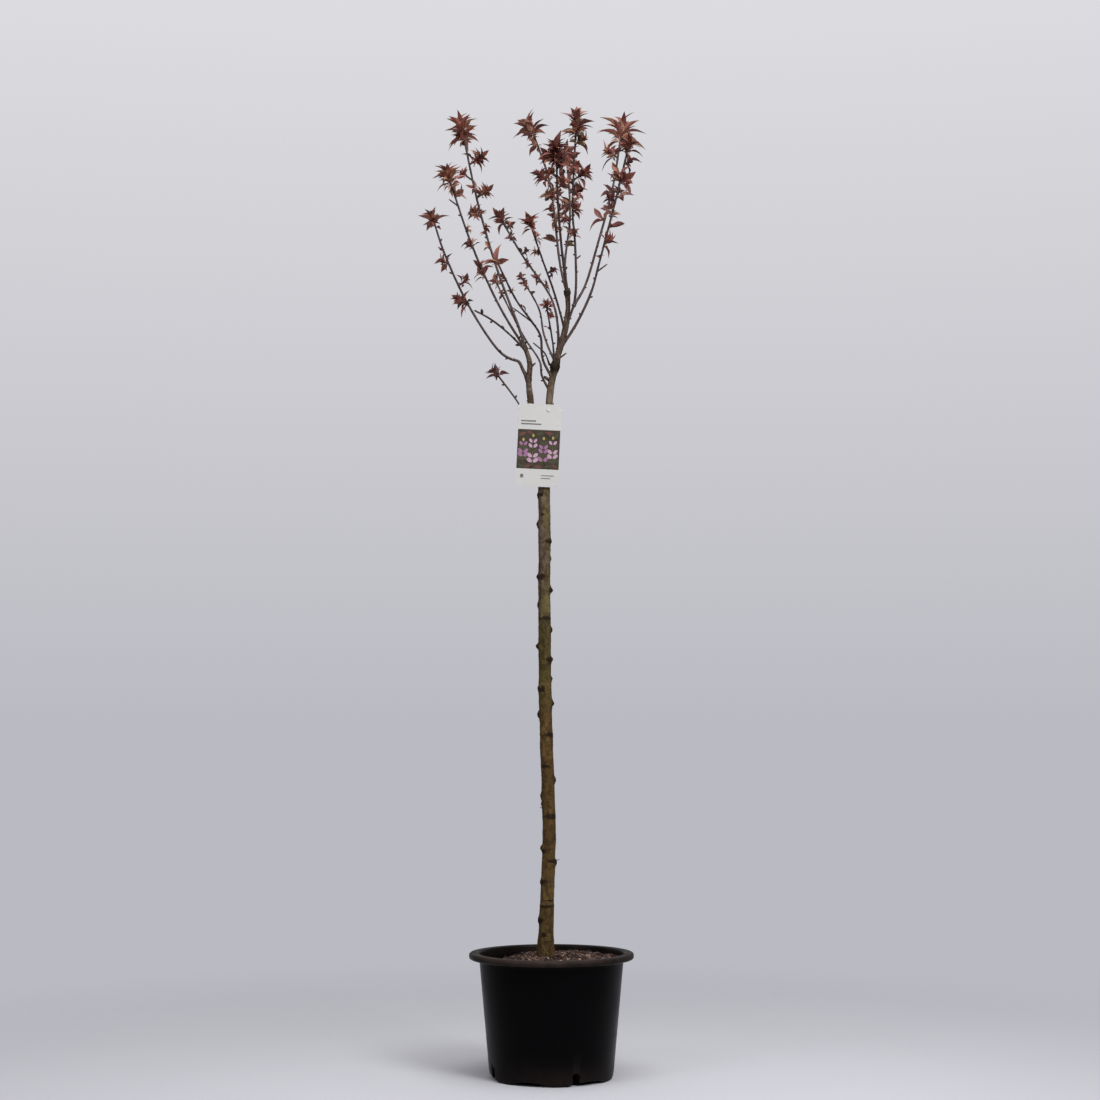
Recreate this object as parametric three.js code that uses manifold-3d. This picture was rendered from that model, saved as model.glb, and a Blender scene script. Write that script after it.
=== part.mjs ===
// Potted standard cherry tree in young leaf: a nursery pot filled with bark compost, a straight trunk
// that forks high up into two stems, and slim boughs that each end in a stem of young leaves.
// Millimetres, +Z up. The origin is the centre of the pot's flat underside, and -Y faces the viewer.

import * as THREE from "three";
import { mergeVertices } from "three/addons/utils/BufferGeometryUtils.js";
import Module from "manifold-3d";

const wasm = await Module();
wasm.setup();

// Clearance between neighbouring pieces, a limb's own slightly wider room, and how near two vertices
// may lie before they count as one.
const GAP = 0.3;
const LIMB_ROOM = 1.1 * GAP;
const WELD = 1e-4;
// Beyond this cosine two directions are too nearly parallel to be crossed.
const NEARLY_PARALLEL = 0.9;
const SIDEWAYS = new THREE.Vector3(1, 0, 0);
const AWAY = new THREE.Vector3(0, 1, 0);
const UPWARDS = new THREE.Vector3(0, 0, 1);
const HALVINGS = 40;
const ROUND_SEGMENTS = 4;

// Pot: a tapering wall under a rolled lip, standing on feet between shallow arches.
const POT_HEIGHT = 262;
const POT_BASE_RADIUS = 131.6;
const POT_TOP_RADIUS = 154;
const POT_WALL = 2.8;
const POT_FLOOR = 3.5;
const POT_FLOOR_STEP = 1;
const POT_CORNER = 5;
const POT_SEGMENTS = 36;
const LIP_RADIUS = 175.7;
const LIP_HEIGHT = 13;
const LIP_ROUND = 4.5;
const LIP_INNER_RADIUS = 153.5;
const FOOT_RING_INNER = 104;
const FOOT_RING_HEIGHT = 13;
const FEET = 6;
const FIRST_FOOT_DEG = -82;
const ARCH_WIDTH = 108;
const ARCH_HEIGHT = 8;
const ARCH_START_BELOW = 1;
const SLOTS = 4;
const FIRST_SLOT_DEG = -67;
const SLOT_WIDTH = 17;
const SLOT_HEIGHT = 26;

// Compost: almost level with the lip, sunk towards the pot's left side.
const SOIL_LEVEL = 251;
const SOIL_DIP = 19;
const SOIL_DIP_START = 50;
const SOIL_DIP_END = 135;
const SOIL_RIPPLE = 1.6;
const SOIL_RIPPLE_PITCH = 31;
const SOIL_FLAT_RADIUS = 38;
const SOIL_RINGS = 7;
const SOIL_TOP_CLEARANCE = 1.5;
const SOIL_BOTTOM_CLEARANCE = 2.5;

// Trunk: flat cut on the compost, root flare, slow taper, and a swelling where the two stems part.
const TRUNK_FOOT = SOIL_LEVEL + GAP;
const TRUNK_PATH = [
  [-13, 0, TRUNK_FOOT],
  [-10, 2, 350],
  [-5, 4, 500],
  [-8, 3, 630],
  [-13, 0, 780],
  [-15, -2, 1000],
  [-16, -1, 1250],
  [-20, 0, 1362],
];
const TRUNK_LOW_RADIUS = 15;
const TRUNK_HIGH_RADIUS = 12.3;
const ROOT_FLARE = 6;
const ROOT_FLARE_REACH = 30;
const FORK_SWELLING = 4.5;
const FORK_HEIGHT = 1348;
const FORK_REACH = 24;
const TRUNK_SIDES = 11;
const TRUNK_STEPS = 15;
const TRUNK_STEP_SPREAD = 1.15;
const CREST_SHRINK = 0.55;
const CREST_RISE = 5;

// Headings round a limb, in degrees from +X: the spurs and knots point this way.
const RIGHT = 0;
const BACK = 90;
const LEFT = 180;
const FRONT = -90;
const FRONT_LEFT = -150;
const FRONT_RIGHT = -30;
const BACK_LEFT = 150;
const BACK_RIGHT = 30;

// Knots left by pruned spurs: height, heading and how far each stands out of the bark.
const KNOTS = [
  [330, LEFT, 3],
  [412, FRONT_LEFT, 4],
  [452, RIGHT, 4],
  [482, LEFT, 5],
  [593, LEFT, 3],
  [627, RIGHT, 4],
  [768, LEFT, 5],
  [792, RIGHT, 5],
  [822, FRONT_LEFT, 4],
  [886, FRONT_RIGHT, 6],
  [915, LEFT, 6],
  [950, RIGHT, 4],
  [1005, LEFT, 3],
  [1036, RIGHT, 6],
  [1065, FRONT_LEFT, 6],
  [1142, FRONT_RIGHT, 4],
  [1180, LEFT, 5],
  [1243, FRONT_LEFT, 4],
  [435, BACK, 4],
  [575, BACK_LEFT, 4],
  [685, BACK, 5],
  [845, BACK_RIGHT, 5],
  [985, BACK, 5],
  [1105, BACK_RIGHT, 4],
];
const KNOT_RADIUS = 4.2;
const KNOT_TIP_SHARE = 0.6;
const KNOT_OUT_SHARE = 0.75;
const KNOT_RISE_SHARE = 0.33;
const KNOT_SIDES = 4;

// The two stems. Bulges are knots that go all the way round: height, height of the swelling, reach.
const STEMS = [
  {
    name: "stem_left",
    path: [
      [-22, 0, 1338],
      [-43, -1, 1408],
      [-46, -2, 1455],
      [-50, -3, 1495],
      [-47, -3, 1530],
      [-59, -4, 1573],
    ],
    radii: [7.7, 4.5],
    bulges: [[1500, 1.5, 9]],
    stubs: [[1522, FRONT_RIGHT, 14, 2.2]],
  },
  {
    name: "stem_right",
    path: [
      [-16, 0, 1338],
      [-7, 1, 1408],
      [-2, 2, 1476],
      [11, 2, 1540],
      [29, 3, 1604],
      [36, 4, 1652],
      [35, 4, 1696],
    ],
    radii: [8.7, 4.7],
    bulges: [
      [1526, 4, 12],
      [1692, 2.4, 8],
    ],
    stubs: [
      [1492, LEFT, 17, 3.6],
      [1540, RIGHT, 22, 2],
    ],
  },
];
const STEM_SIDES = 7;
const STEM_STEPS = 11;
const STUB_SIDES = 5;
const STUB_TIP_SHARE = 0.8;

// The boughs, from the lowest on the left round to the outermost on the right.
// root: height on the parent. via and tip: points the bough runs through. radii: at its root and tip.
// leafy: the height where the bare bough ends and its leafy stem begins.
// tuft: leaves at the tip and their length. spurs: height, heading, twig length, leaves, leaf length.
const BOUGHS = [
  {
    name: "low_left", parent: "stem_left", root: 1384, seed: 54,
    via: [[-72, 19, 1448]], tip: [-122, 40, 1519],
    radii: [2.4, 1.3], leafy: 1490, tuft: [6, 27],
    spurs: [],
  },
  {
    name: "left_low", parent: "stem_left", root: 1494, seed: 34,
    via: [
      [-63, 3, 1521], [-72, 6, 1538], [-88, 9, 1544], [-112, 12, 1560], [-181, 25, 1664], [-240, 42, 1795],
    ],
    tip: [-262, 50, 1864], radii: [4.6, 1.5], leafy: 1650, tuft: [7, 39],
    spurs: [
      [1666, LEFT, 14, 8, 31], [1712, RIGHT, 14, 4, 26], [1760, LEFT, 9, 3, 30], [1797, LEFT, 4, 2, 17],
    ],
  },
  {
    name: "left_bare", parent: "stem_left", root: 1558, seed: 3,
    via: [[-86, -42, 1585], [-130, -88, 1613]], tip: [-164, -110, 1628],
    radii: [2.6, 1.3], leafy: null, tuft: [0, 0],
    spurs: [],
  },
  {
    name: "left_mid", parent: "stem_left", root: 1561, seed: 51,
    via: [[-113, -20, 1655], [-171, -45, 1780]], tip: [-224, -70, 1932],
    radii: [3.3, 1.5], leafy: 1712, tuft: [13, 43],
    spurs: [
      [1725, LEFT, 6, 4, 31], [1738, BACK, 5, 2, 30], [1785, LEFT, 5, 3, 31], [1820, RIGHT, 6, 2, 17],
      [1868, LEFT, 25, 0, 0], [1893, RIGHT, 5, 2, 32],
    ],
  },
  {
    name: "left_tall", parent: "stem_left", root: 1564, seed: 65,
    via: [[-73, 5, 1618], [-116, 22, 1736], [-162, 41, 1895]], tip: [-201, 60, 2080],
    radii: [3.8, 1.6], leafy: 1784, tuft: [18, 46],
    spurs: [
      [1800, LEFT, 5, 3, 19], [1832, FRONT_LEFT, 4, 2, 20], [1846, RIGHT, 5, 3, 17],
      [1866, LEFT, 17, 9, 28], [1912, RIGHT, 20, 6, 37], [1935, BACK, 5, 2, 22],
      [1953, LEFT, 24, 3, 24], [1990, RIGHT, 24, 9, 35], [2050, LEFT, 5, 4, 40],
    ],
  },
  {
    name: "inner_front", parent: "stem_right", root: 1500, seed: 25,
    via: [[-19, -15, 1540], [-24, -32, 1588], [-44, -54, 1617], [-75, -82, 1655]], tip: [-115, -130, 1727],
    radii: [3.2, 1.5], leafy: 1606, tuft: [4, 40],
    spurs: [[1615, LEFT, 52, 0, 0], [1645, RIGHT, 5, 1, 15], [1672, FRONT, 5, 1, 15], [1700, LEFT, 5, 2, 18]],
  },
  {
    name: "inner_back", parent: "stem_right", root: 1538, seed: 23,
    via: [[15, 28, 1605], [1, 64, 1688], [-66, 112, 1800]], tip: [-115, 150, 1892],
    radii: [3.4, 1.5], leafy: 1706, tuft: [8, 33],
    spurs: [
      [1722, RIGHT, 6, 2, 19], [1742, BACK_LEFT, 6, 3, 20], [1776, LEFT, 6, 3, 18],
      [1802, RIGHT, 8, 5, 21], [1848, BACK, 5, 3, 19], [1868, RIGHT, 8, 4, 21],
    ],
  },
  {
    name: "inner_short", parent: "stem_right", root: 1534, seed: 70,
    via: [[-7, 24, 1574], [-18, 46, 1612], [-27, 80, 1668]], tip: [-68, 129, 1753],
    radii: [2.9, 1.3], leafy: 1696, tuft: [4, 17],
    spurs: [[1712, RIGHT, 6, 2, 15], [1728, LEFT, 5, 3, 16], [1740, BACK, 5, 2, 17]],
  },
  {
    name: "inner_spur", parent: "stem_right", root: 1526, seed: 57,
    via: [[3, -25, 1572]], tip: [-11, -110, 1640],
    radii: [2.5, 1.3], leafy: 1588, tuft: [5, 21],
    spurs: [[1598, LEFT, 8, 1, 14], [1622, RIGHT, 6, 3, 17]],
  },
  {
    name: "low_back", parent: "stem_right", root: 1470, seed: 9,
    via: [[-21, 12, 1508], [-25, 24, 1540], [-61, 64, 1604]], tip: [-124, 130, 1740],
    radii: [3, 1.3], leafy: 1690, tuft: [4, 25],
    spurs: [[1712, BACK_LEFT, 5, 2, 17]],
  },
  {
    name: "centre_front", parent: "stem_right", root: 1607, seed: 72,
    via: [[6, -64, 1676], [-22, -128, 1742]], tip: [-45, -180, 1800],
    radii: [2.9, 1.3], leafy: 1692, tuft: [7, 33],
    spurs: [[1711, RIGHT, 11, 4, 20], [1745, LEFT, 8, 4, 20], [1775, FRONT_RIGHT, 6, 3, 19]],
  },
  {
    name: "centre_tall", parent: "stem_right", root: 1686, seed: 47,
    via: [[20, 17, 1752], [7, 45, 1870], [-5, 66, 1960]], tip: [-46, 90, 2088],
    radii: [3.4, 1.5], leafy: 1796, tuft: [13, 47],
    spurs: [
      [1812, LEFT, 6, 2, 42], [1842, RIGHT, 7, 3, 22], [1868, BACK, 7, 3, 27], [1885, LEFT, 6, 3, 28],
      [1912, LEFT, 8, 5, 27], [1935, BACK_RIGHT, 7, 3, 28], [1954, LEFT, 20, 8, 33], [2044, LEFT, 5, 2, 30],
    ],
  },
  {
    name: "crown_front", parent: "stem_right", root: 1688, seed: 55,
    via: [[22, -55, 1778], [13, -111, 1880]], tip: [11, -150, 1968],
    radii: [3.6, 1.5], leafy: 1836, tuft: [16, 40],
    spurs: [
      [1848, RIGHT, 8, 3, 27], [1944, LEFT, 16, 6, 35], [1868, FRONT_LEFT, 8, 3, 29], [1892, RIGHT, 9, 4, 32],
      [1914, LEFT, 9, 4, 33], [1930, FRONT_RIGHT, 9, 5, 36],
    ],
  },
  {
    name: "crown_back", parent: "stem_right", root: 1690, seed: 71,
    via: [[30, 40, 1761], [42, 102, 1889]], tip: [35, 170, 2044],
    radii: [3.4, 1.5], leafy: 1800, tuft: [9, 41],
    spurs: [
      [1815, RIGHT, 5, 2, 28], [1846, BACK_RIGHT, 7, 3, 29], [1880, LEFT, 7, 3, 29], [1912, BACK, 9, 4, 32],
      [1945, RIGHT, 9, 4, 32], [1975, BACK_LEFT, 9, 4, 34], [2004, RIGHT, 9, 4, 34],
    ],
  },
  {
    name: "right_upright", parent: "stem_right", root: 1612, seed: 11,
    via: [[51, -14, 1671], [52, -38, 1780], [46, -58, 1860]], tip: [54, -90, 2048],
    radii: [3.4, 1.5], leafy: 1746, tuft: [15, 44],
    spurs: [
      [1757, RIGHT, 14, 0, 0], [1810, FRONT, 6, 2, 21], [1862, RIGHT, 7, 3, 30],
      [1890, FRONT_RIGHT, 9, 3, 34], [1914, LEFT, 8, 2, 20], [1922, RIGHT, 24, 8, 33],
      [1970, FRONT_LEFT, 8, 3, 30], [1998, RIGHT, 10, 6, 34],
    ],
  },
  {
    name: "right_tall", parent: "right_upright", root: 1658, seed: 10,
    via: [[72, -1, 1701], [104, 23, 1810], [136, 48, 1935]], tip: [158, 72, 2074],
    radii: [3.3, 1.6], leafy: 1836, tuft: [15, 59],
    spurs: [
      [1862, LEFT, 7, 3, 43], [1890, BACK_RIGHT, 7, 3, 29], [1925, BACK, 8, 3, 31],
      [1960, RIGHT, 7, 3, 29], [2008, LEFT, 13, 6, 43],
    ],
  },
  {
    name: "right_outer", parent: "stem_right", root: 1564, seed: 56,
    via: [[55, -9, 1620], [87, -22, 1687], [105, -34, 1752], [141, -55, 1888]], tip: [168, -70, 2000],
    radii: [3.6, 1.5], leafy: 1718, tuft: [9, 38],
    spurs: [
      [1730, RIGHT, 28, 0, 0], [1762, FRONT_LEFT, 5, 2, 18], [1794, RIGHT, 7, 5, 36], [1824, RIGHT, 5, 2, 43],
      [1850, FRONT_RIGHT, 6, 2, 25], [1880, LEFT, 8, 4, 30], [1886, RIGHT, 8, 3, 36],
      [1918, RIGHT, 8, 8, 35], [1936, FRONT_LEFT, 8, 3, 30], [1958, RIGHT, 9, 4, 36],
    ],
  },
];
const LIMB_TURN = 0.37;
const PEG_TURN = 1.13;
const BOUGH_SIDES = 5;
const BOUGH_STEP = 52;
const BOUGH_TAPER = 0.5;
const COLLAR_SWELLING = 0.5;
const COLLAR_REACH = 12;
const LEAFY_SIDES = 4;
const TWIG_SIDES = 3;
const TWIG_ROOT_RADIUS = 1.9;
const TWIG_TIP_RADIUS = 1.3;
const SPUR_SIDES = 4;
const SPUR_RADIUS = 2.2;
const TWIG_RISE = 0.75;

// Leaves: young, narrow and pointed, folded along the midrib and arched outwards.
const GOLDEN_DEG = 137.5;
const LEAF_PITCH = 1.9;
const SPUR_LEAFY_SHARE = 0.8;
const SHORTEST_SPUR = 8;
const LEAF_TILT_INNER_DEG = 18;
const LEAF_TILT_OUTER_DEG = 98;
const LEAF_TILT_JITTER_DEG = 10;
const LEAF_SHORTEST = 0.72;
const LEAF_HALF_WIDTH = 0.185;
const LEAF_WIDEST_AT = 0.44;
const LEAF_FOLD = 0.4;
const LEAF_ARCH = 0.07;
const LEAF_TIP_CURL = 0.13;
const SPACE_MARGIN = 1.2;
const SPACE_STEP = 22;

// Label: a hanging card in front of the fork, held by a loop round the right stem.
const CARD_WIDTH = 93;
const CARD_HEIGHT = 181;
const CARD_THICKNESS = 0.9;
const CARD_CORNER_TOP = 4;
const CARD_CORNER_BOTTOM = 13;
const CARD_CENTRE = [-28, 1350];
const CARD_LEAN_DEG = 2.7;
const CARD_FACE_Y = -18.6;
const CARD_HOLE_RADIUS = 2.6;
const TIE_HEIGHT = 1428;
const TIE_WIDTH = 4;
const TIE_THICKNESS = 1.4;
const TIE_SHANK_RADIUS = 2;
const TIE_HEAD_RADIUS = 4.6;
const TIE_HEAD_THICKNESS = 1.2;
const TIE_SEGMENTS = 16;
const TIE_OVERLAP = 0.5;

// Linear congruential generator, so that every build grows the same leaves.
const RANDOM_FACTOR = 1664525;
const RANDOM_STEP = 1013904223;
const RANDOM_RANGE = 4294967296;
const RANDOM_SPREAD = 7919;

const MATERIALS = {
  pot: { color: 0x17161a, roughness: 0.38, metalness: 0 },
  soil: { color: 0x5a463f, roughness: 0.95, metalness: 0 },
  bark: { color: 0x6b5a48, roughness: 0.85, metalness: 0 },
  twig: { color: 0x5c4a46, roughness: 0.7, metalness: 0 },
  leaf: { color: 0x6a2f2c, roughness: 0.5, metalness: 0 },
  card: { color: 0xe6e4e4, roughness: 0.35, metalness: 0 },
  tie: { color: 0xdcdcd6, roughness: 0.4, metalness: 0 },
};

function seededRandom(seed) {
  let state = (seed * RANDOM_SPREAD) >>> 0;
  return () => {
    state = (Math.imul(state, RANDOM_FACTOR) + RANDOM_STEP) >>> 0;
    return state / RANDOM_RANGE;
  };
}

function vector(point) {
  return new THREE.Vector3(point[0], point[1], point[2]);
}

function headingVector(degrees) {
  const angle = THREE.MathUtils.degToRad(degrees);
  return new THREE.Vector3(Math.cos(angle), Math.sin(angle), 0);
}

// Solids

// A closed geometry becomes a solid once its shared vertices are one and its collapsed faces are gone.
function solidOf(geometry) {
  const bare = geometry.index ? geometry.toNonIndexed() : geometry.clone();
  bare.deleteAttribute("normal");
  bare.deleteAttribute("uv");
  const merged = mergeVertices(bare, WELD);
  const index = merged.index.array;
  const triangles = [];
  for (let i = 0; i < index.length; i += 3) {
    const [a, b, c] = [index[i], index[i + 1], index[i + 2]];
    if (a !== b && b !== c && c !== a) triangles.push(a, b, c);
  }
  return new wasm.Manifold(
    new wasm.Mesh({
      numProp: 3,
      vertProperties: merged.attributes.position.array,
      triVerts: new Uint32Array(triangles),
    }),
  );
}

function geometryOf(solid) {
  const mesh = solid.getMesh();
  const geometry = new THREE.BufferGeometry();
  geometry.setAttribute("position", new THREE.BufferAttribute(new Float32Array(mesh.vertProperties), 3));
  geometry.setIndex(new THREE.BufferAttribute(new Uint32Array(mesh.triVerts), 1));
  const faceted = geometry.toNonIndexed();
  faceted.computeVertexNormals();
  return faceted;
}

// The largest outer shell: loose scraps and sealed hollows are left behind.
function mainBody(solid) {
  return solid.decompose().reduce((best, body) => (body.volume() > best.volume() ? body : best));
}

function joined(solids) {
  return solids.reduce((whole, solid) => whole.add(solid));
}

function named(name, solid, material) {
  const mesh = new THREE.Mesh(geometryOf(solid), new THREE.MeshStandardMaterial(MATERIALS[material]));
  mesh.name = name;
  return mesh;
}

// A run of rings of equal size, closed by a flat fan at each end.
function ringTube(rings) {
  const sides = rings[0].length;
  const positions = rings.flat().flatMap((point) => point.toArray());
  const faces = [];
  for (let ring = 0; ring + 1 < rings.length; ring += 1) {
    for (let side = 0; side < sides; side += 1) {
      const a = ring * sides + side;
      const b = ring * sides + ((side + 1) % sides);
      faces.push(a, b, b + sides, a, b + sides, a + sides);
    }
  }
  const last = (rings.length - 1) * sides;
  for (let side = 1; side + 1 < sides; side += 1) {
    faces.push(0, side + 1, side);
    faces.push(last, last + side, last + side + 1);
  }
  const geometry = new THREE.BufferGeometry();
  geometry.setAttribute("position", new THREE.Float32BufferAttribute(positions, 3));
  geometry.setIndex(faces);
  return solidOf(geometry);
}

// One ring at right angles to a direction, its corners counter-clockwise seen from the front.
// The turn keeps the edges of a limb and of what grows out of it from falling on each other.
function ringAt(centre, along, radius, sides, turn = LIMB_TURN) {
  const reference = Math.abs(along.y) > NEARLY_PARALLEL ? UPWARDS : AWAY;
  const across = reference.clone().cross(along).normalize();
  const up = along.clone().cross(across);
  return Array.from({ length: sides }, (_, side) => {
    const angle = turn + (2 * Math.PI * side) / sides;
    return centre
      .clone()
      .addScaledVector(across, radius * Math.cos(angle))
      .addScaledVector(up, radius * Math.sin(angle));
  });
}

// A straight tapering twig, knot or stub.
function taperedPeg(from, to, fromRadius, toRadius, sides) {
  const along = to.clone().sub(from).normalize();
  return ringTube([
    ringAt(from, along, fromRadius, sides, PEG_TURN),
    ringAt(to, along, toRadius, sides, PEG_TURN),
  ]);
}

// Limbs

// The curve parameter at which a limb, which always climbs, reaches a height.
function parameterAt(limb, height) {
  let low = 0;
  let high = 1;
  for (let halving = 0; halving < HALVINGS; halving += 1) {
    const middle = (low + high) / 2;
    if (limb.curve.getPoint(middle).z < height) low = middle;
    else high = middle;
  }
  return (low + high) / 2;
}

function pointAt(limb, height) {
  return limb.curve.getPoint(parameterAt(limb, height));
}

function bell(distance, reach) {
  return Math.exp(-((distance / reach) ** 2));
}

// Radius along a limb: a taper, a collar at the root and a bulge at each knot. A stem tapers evenly, and
// a bough gives up most of its thickness near its root.
function limbRadius(limb, parameter) {
  const point = limb.curve.getPoint(parameter);
  const taper = THREE.MathUtils.lerp(limb.radii[0], limb.radii[1], parameter ** limb.taper);
  const collar = 1 + COLLAR_SWELLING * bell(point.distanceTo(limb.curve.getPoint(0)), COLLAR_REACH);
  const swelling = (limb.bulges ?? []).reduce(
    (sum, [height, size, reach]) => sum + size * bell(point.z - height, reach),
    0,
  );
  return taper * collar + swelling;
}

function limbTube(limb, start, end, steps, sides, extra = 0) {
  const rings = Array.from({ length: steps + 1 }, (_, step) => {
    const parameter = THREE.MathUtils.lerp(start, end, step / steps);
    const along = limb.curve.getTangent(parameter);
    return ringAt(limb.curve.getPoint(parameter), along, limbRadius(limb, parameter) + extra, sides);
  });
  return ringTube(rings);
}

function limbSteps(limb, start, end) {
  return Math.max(2, Math.round((limb.curve.getLength() * (end - start)) / BOUGH_STEP));
}

// Pot and compost

function potShell() {
  const wallTop = POT_HEIGHT - LIP_HEIGHT;
  const floorRing = POT_BASE_RADIUS - POT_WALL - POT_FLOOR_STEP;
  const profile = [
    [0, 0],
    [POT_BASE_RADIUS - POT_CORNER, 0],
    [POT_BASE_RADIUS, POT_CORNER],
    [POT_TOP_RADIUS, wallTop],
    [LIP_RADIUS - LIP_ROUND, wallTop],
    [LIP_RADIUS, wallTop + LIP_ROUND],
    [LIP_RADIUS, POT_HEIGHT - LIP_ROUND],
    [LIP_RADIUS - LIP_ROUND, POT_HEIGHT],
    [LIP_INNER_RADIUS + LIP_ROUND, POT_HEIGHT],
    [LIP_INNER_RADIUS, POT_HEIGHT - LIP_ROUND],
    [POT_TOP_RADIUS - POT_WALL, wallTop - LIP_HEIGHT],
    [floorRing, FOOT_RING_HEIGHT],
    [FOOT_RING_INNER, FOOT_RING_HEIGHT],
    [FOOT_RING_INNER - POT_WALL, POT_FLOOR],
    [0, POT_FLOOR],
  ].map(([radius, height]) => new THREE.Vector2(radius, height));
  return solidOf(new THREE.LatheGeometry(profile, POT_SEGMENTS).rotateX(Math.PI / 2));
}

// A cutter that runs outwards under the pot's edge: an outline across and up, as long as the ring is wide.
function edgeCutter(outline, headingDeg) {
  const inner = FOOT_RING_INNER + POT_WALL;
  const length = POT_TOP_RADIUS - inner;
  const geometry = new THREE.ExtrudeGeometry(outline, {
    depth: length,
    bevelEnabled: false,
    curveSegments: ROUND_SEGMENTS,
  });
  geometry.rotateX(Math.PI / 2);
  geometry.rotateZ(Math.PI / 2);
  geometry.translate(inner, 0, 0);
  geometry.rotateZ(THREE.MathUtils.degToRad(headingDeg));
  return solidOf(geometry);
}

function archOutline() {
  const outline = new THREE.Shape();
  const half = ARCH_WIDTH / 2;
  const low = -ARCH_START_BELOW;
  outline.moveTo(-half, low);
  outline.lineTo(half, low);
  outline.quadraticCurveTo(0, 2 * ARCH_HEIGHT - low, -half, low);
  return outline;
}

function slotOutline() {
  const outline = new THREE.Shape();
  const half = SLOT_WIDTH / 2;
  outline.moveTo(-half, ARCH_HEIGHT / 2);
  outline.lineTo(half, ARCH_HEIGHT / 2);
  outline.lineTo(half, SLOT_HEIGHT - half);
  outline.absarc(0, SLOT_HEIGHT - half, half, 0, Math.PI, false);
  return outline;
}

function pot() {
  let shell = potShell();
  for (let foot = 0; foot < FEET; foot += 1) {
    shell = shell.subtract(edgeCutter(archOutline(), FIRST_FOOT_DEG + ((foot + 0.5) * 360) / FEET));
  }
  for (let slot = 0; slot < SLOTS; slot += 1) {
    shell = shell.subtract(edgeCutter(slotOutline(), FIRST_SLOT_DEG + (slot * 360) / SLOTS));
  }
  return named("pot", mainBody(shell), "pot");
}

function soilHeight(x, y) {
  const away = Math.max(0, Math.hypot(x - TRUNK_PATH[0][0], y) - SOIL_FLAT_RADIUS);
  const settled = Math.min(1, away / SOIL_FLAT_RADIUS);
  const dip = SOIL_DIP * THREE.MathUtils.smoothstep(-x, SOIL_DIP_START, SOIL_DIP_END);
  const ripple = SOIL_RIPPLE * Math.sin(x / SOIL_RIPPLE_PITCH) * Math.cos(y / SOIL_RIPPLE_PITCH);
  return SOIL_LEVEL - settled * (dip + SOIL_RIPPLE + ripple);
}

// The compost fills the pot: a turned plug whose top follows the compost's surface.
function soil() {
  const topRadius = POT_TOP_RADIUS - POT_WALL - SOIL_TOP_CLEARANCE;
  const bottomRadius = POT_BASE_RADIUS - POT_WALL - SOIL_BOTTOM_CLEARANCE;
  const top = Array.from({ length: SOIL_RINGS + 1 }, (_, ring) => [
    topRadius * (1 - ring / SOIL_RINGS),
    SOIL_LEVEL,
  ]);
  const profile = [[0, FOOT_RING_HEIGHT + GAP], [bottomRadius, FOOT_RING_HEIGHT + GAP], ...top];
  const points = profile.map(([radius, height]) => new THREE.Vector2(radius, height));
  const geometry = new THREE.LatheGeometry(points, POT_SEGMENTS / 2).rotateX(Math.PI / 2);
  const position = geometry.attributes.position;
  for (let i = 0; i < position.count; i += 1) {
    if (position.getZ(i) > FOOT_RING_HEIGHT + 1) {
      position.setZ(i, soilHeight(position.getX(i), position.getY(i)));
    }
  }
  return named("soil", solidOf(geometry), "soil");
}

// Trunk

function trunkRadius(height) {
  const share = (height - TRUNK_FOOT) / (FORK_HEIGHT - TRUNK_FOOT);
  const taper = THREE.MathUtils.lerp(TRUNK_LOW_RADIUS, TRUNK_HIGH_RADIUS, Math.min(1, share));
  const flare = ROOT_FLARE * Math.exp(-(height - TRUNK_FOOT) / ROOT_FLARE_REACH);
  return taper + flare + FORK_SWELLING * bell(height - FORK_HEIGHT, FORK_REACH);
}

function trunkTube(curve, extra) {
  const rings = Array.from({ length: TRUNK_STEPS + 1 }, (_, step) => {
    const parameter = (step / TRUNK_STEPS) ** TRUNK_STEP_SPREAD;
    const centre = curve.getPoint(parameter);
    return ringAt(centre, UPWARDS, trunkRadius(centre.z) + extra, TRUNK_SIDES);
  });
  const crest = rings[TRUNK_STEPS].map((point) => point.clone());
  const summit = curve.getPoint(1);
  crest.forEach((point) => point.lerp(summit, CREST_SHRINK).setZ(summit.z + CREST_RISE + extra));
  return ringTube([...rings, crest]);
}

function knot(curve, [height, heading, size]) {
  const centre = pointAt({ curve }, height);
  const outwards = headingVector(heading);
  const bark = trunkRadius(height);
  const from = centre.clone().addScaledVector(outwards, bark - size);
  const to = centre.clone().addScaledVector(outwards, bark + size * KNOT_OUT_SHARE);
  to.z += size * KNOT_RISE_SHARE;
  return taperedPeg(from, to, KNOT_RADIUS, KNOT_RADIUS * KNOT_TIP_SHARE, KNOT_SIDES);
}

function buildTrunk() {
  const curve = new THREE.CatmullRomCurve3(TRUNK_PATH.map(vector));
  const knots = KNOTS.map((row) => knot(curve, row));
  return {
    curve,
    solid: mainBody(joined([trunkTube(curve, 0), ...knots])),
    room: joined([trunkTube(curve, GAP), ...knots]),
  };
}

// Stems and boughs

function stub(limb, [height, heading, length, radius]) {
  const from = pointAt(limb, height);
  const to = from.clone().addScaledVector(headingVector(heading), length);
  to.z += length * TWIG_RISE;
  return taperedPeg(from, to, radius, radius * STUB_TIP_SHARE, STUB_SIDES);
}

// Each limb's own room is the limb grown by the gap, which is cut out of everything that joins it.
function buildStem(row, rooms) {
  const limb = { ...row, taper: 1, curve: new THREE.CatmullRomCurve3(row.path.map(vector)) };
  const stubs = row.stubs.map((each) => stub(limb, each));
  const whole = joined([limbTube(limb, 0, 1, STEM_STEPS, STEM_SIDES), ...stubs]);
  limb.solid = mainBody(rooms.reduce((rest, room) => rest.subtract(room), whole));
  limb.room = joined([limbTube(limb, 0, 1, STEM_STEPS, STEM_SIDES, LIMB_ROOM), ...stubs]);
  return limb;
}

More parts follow.
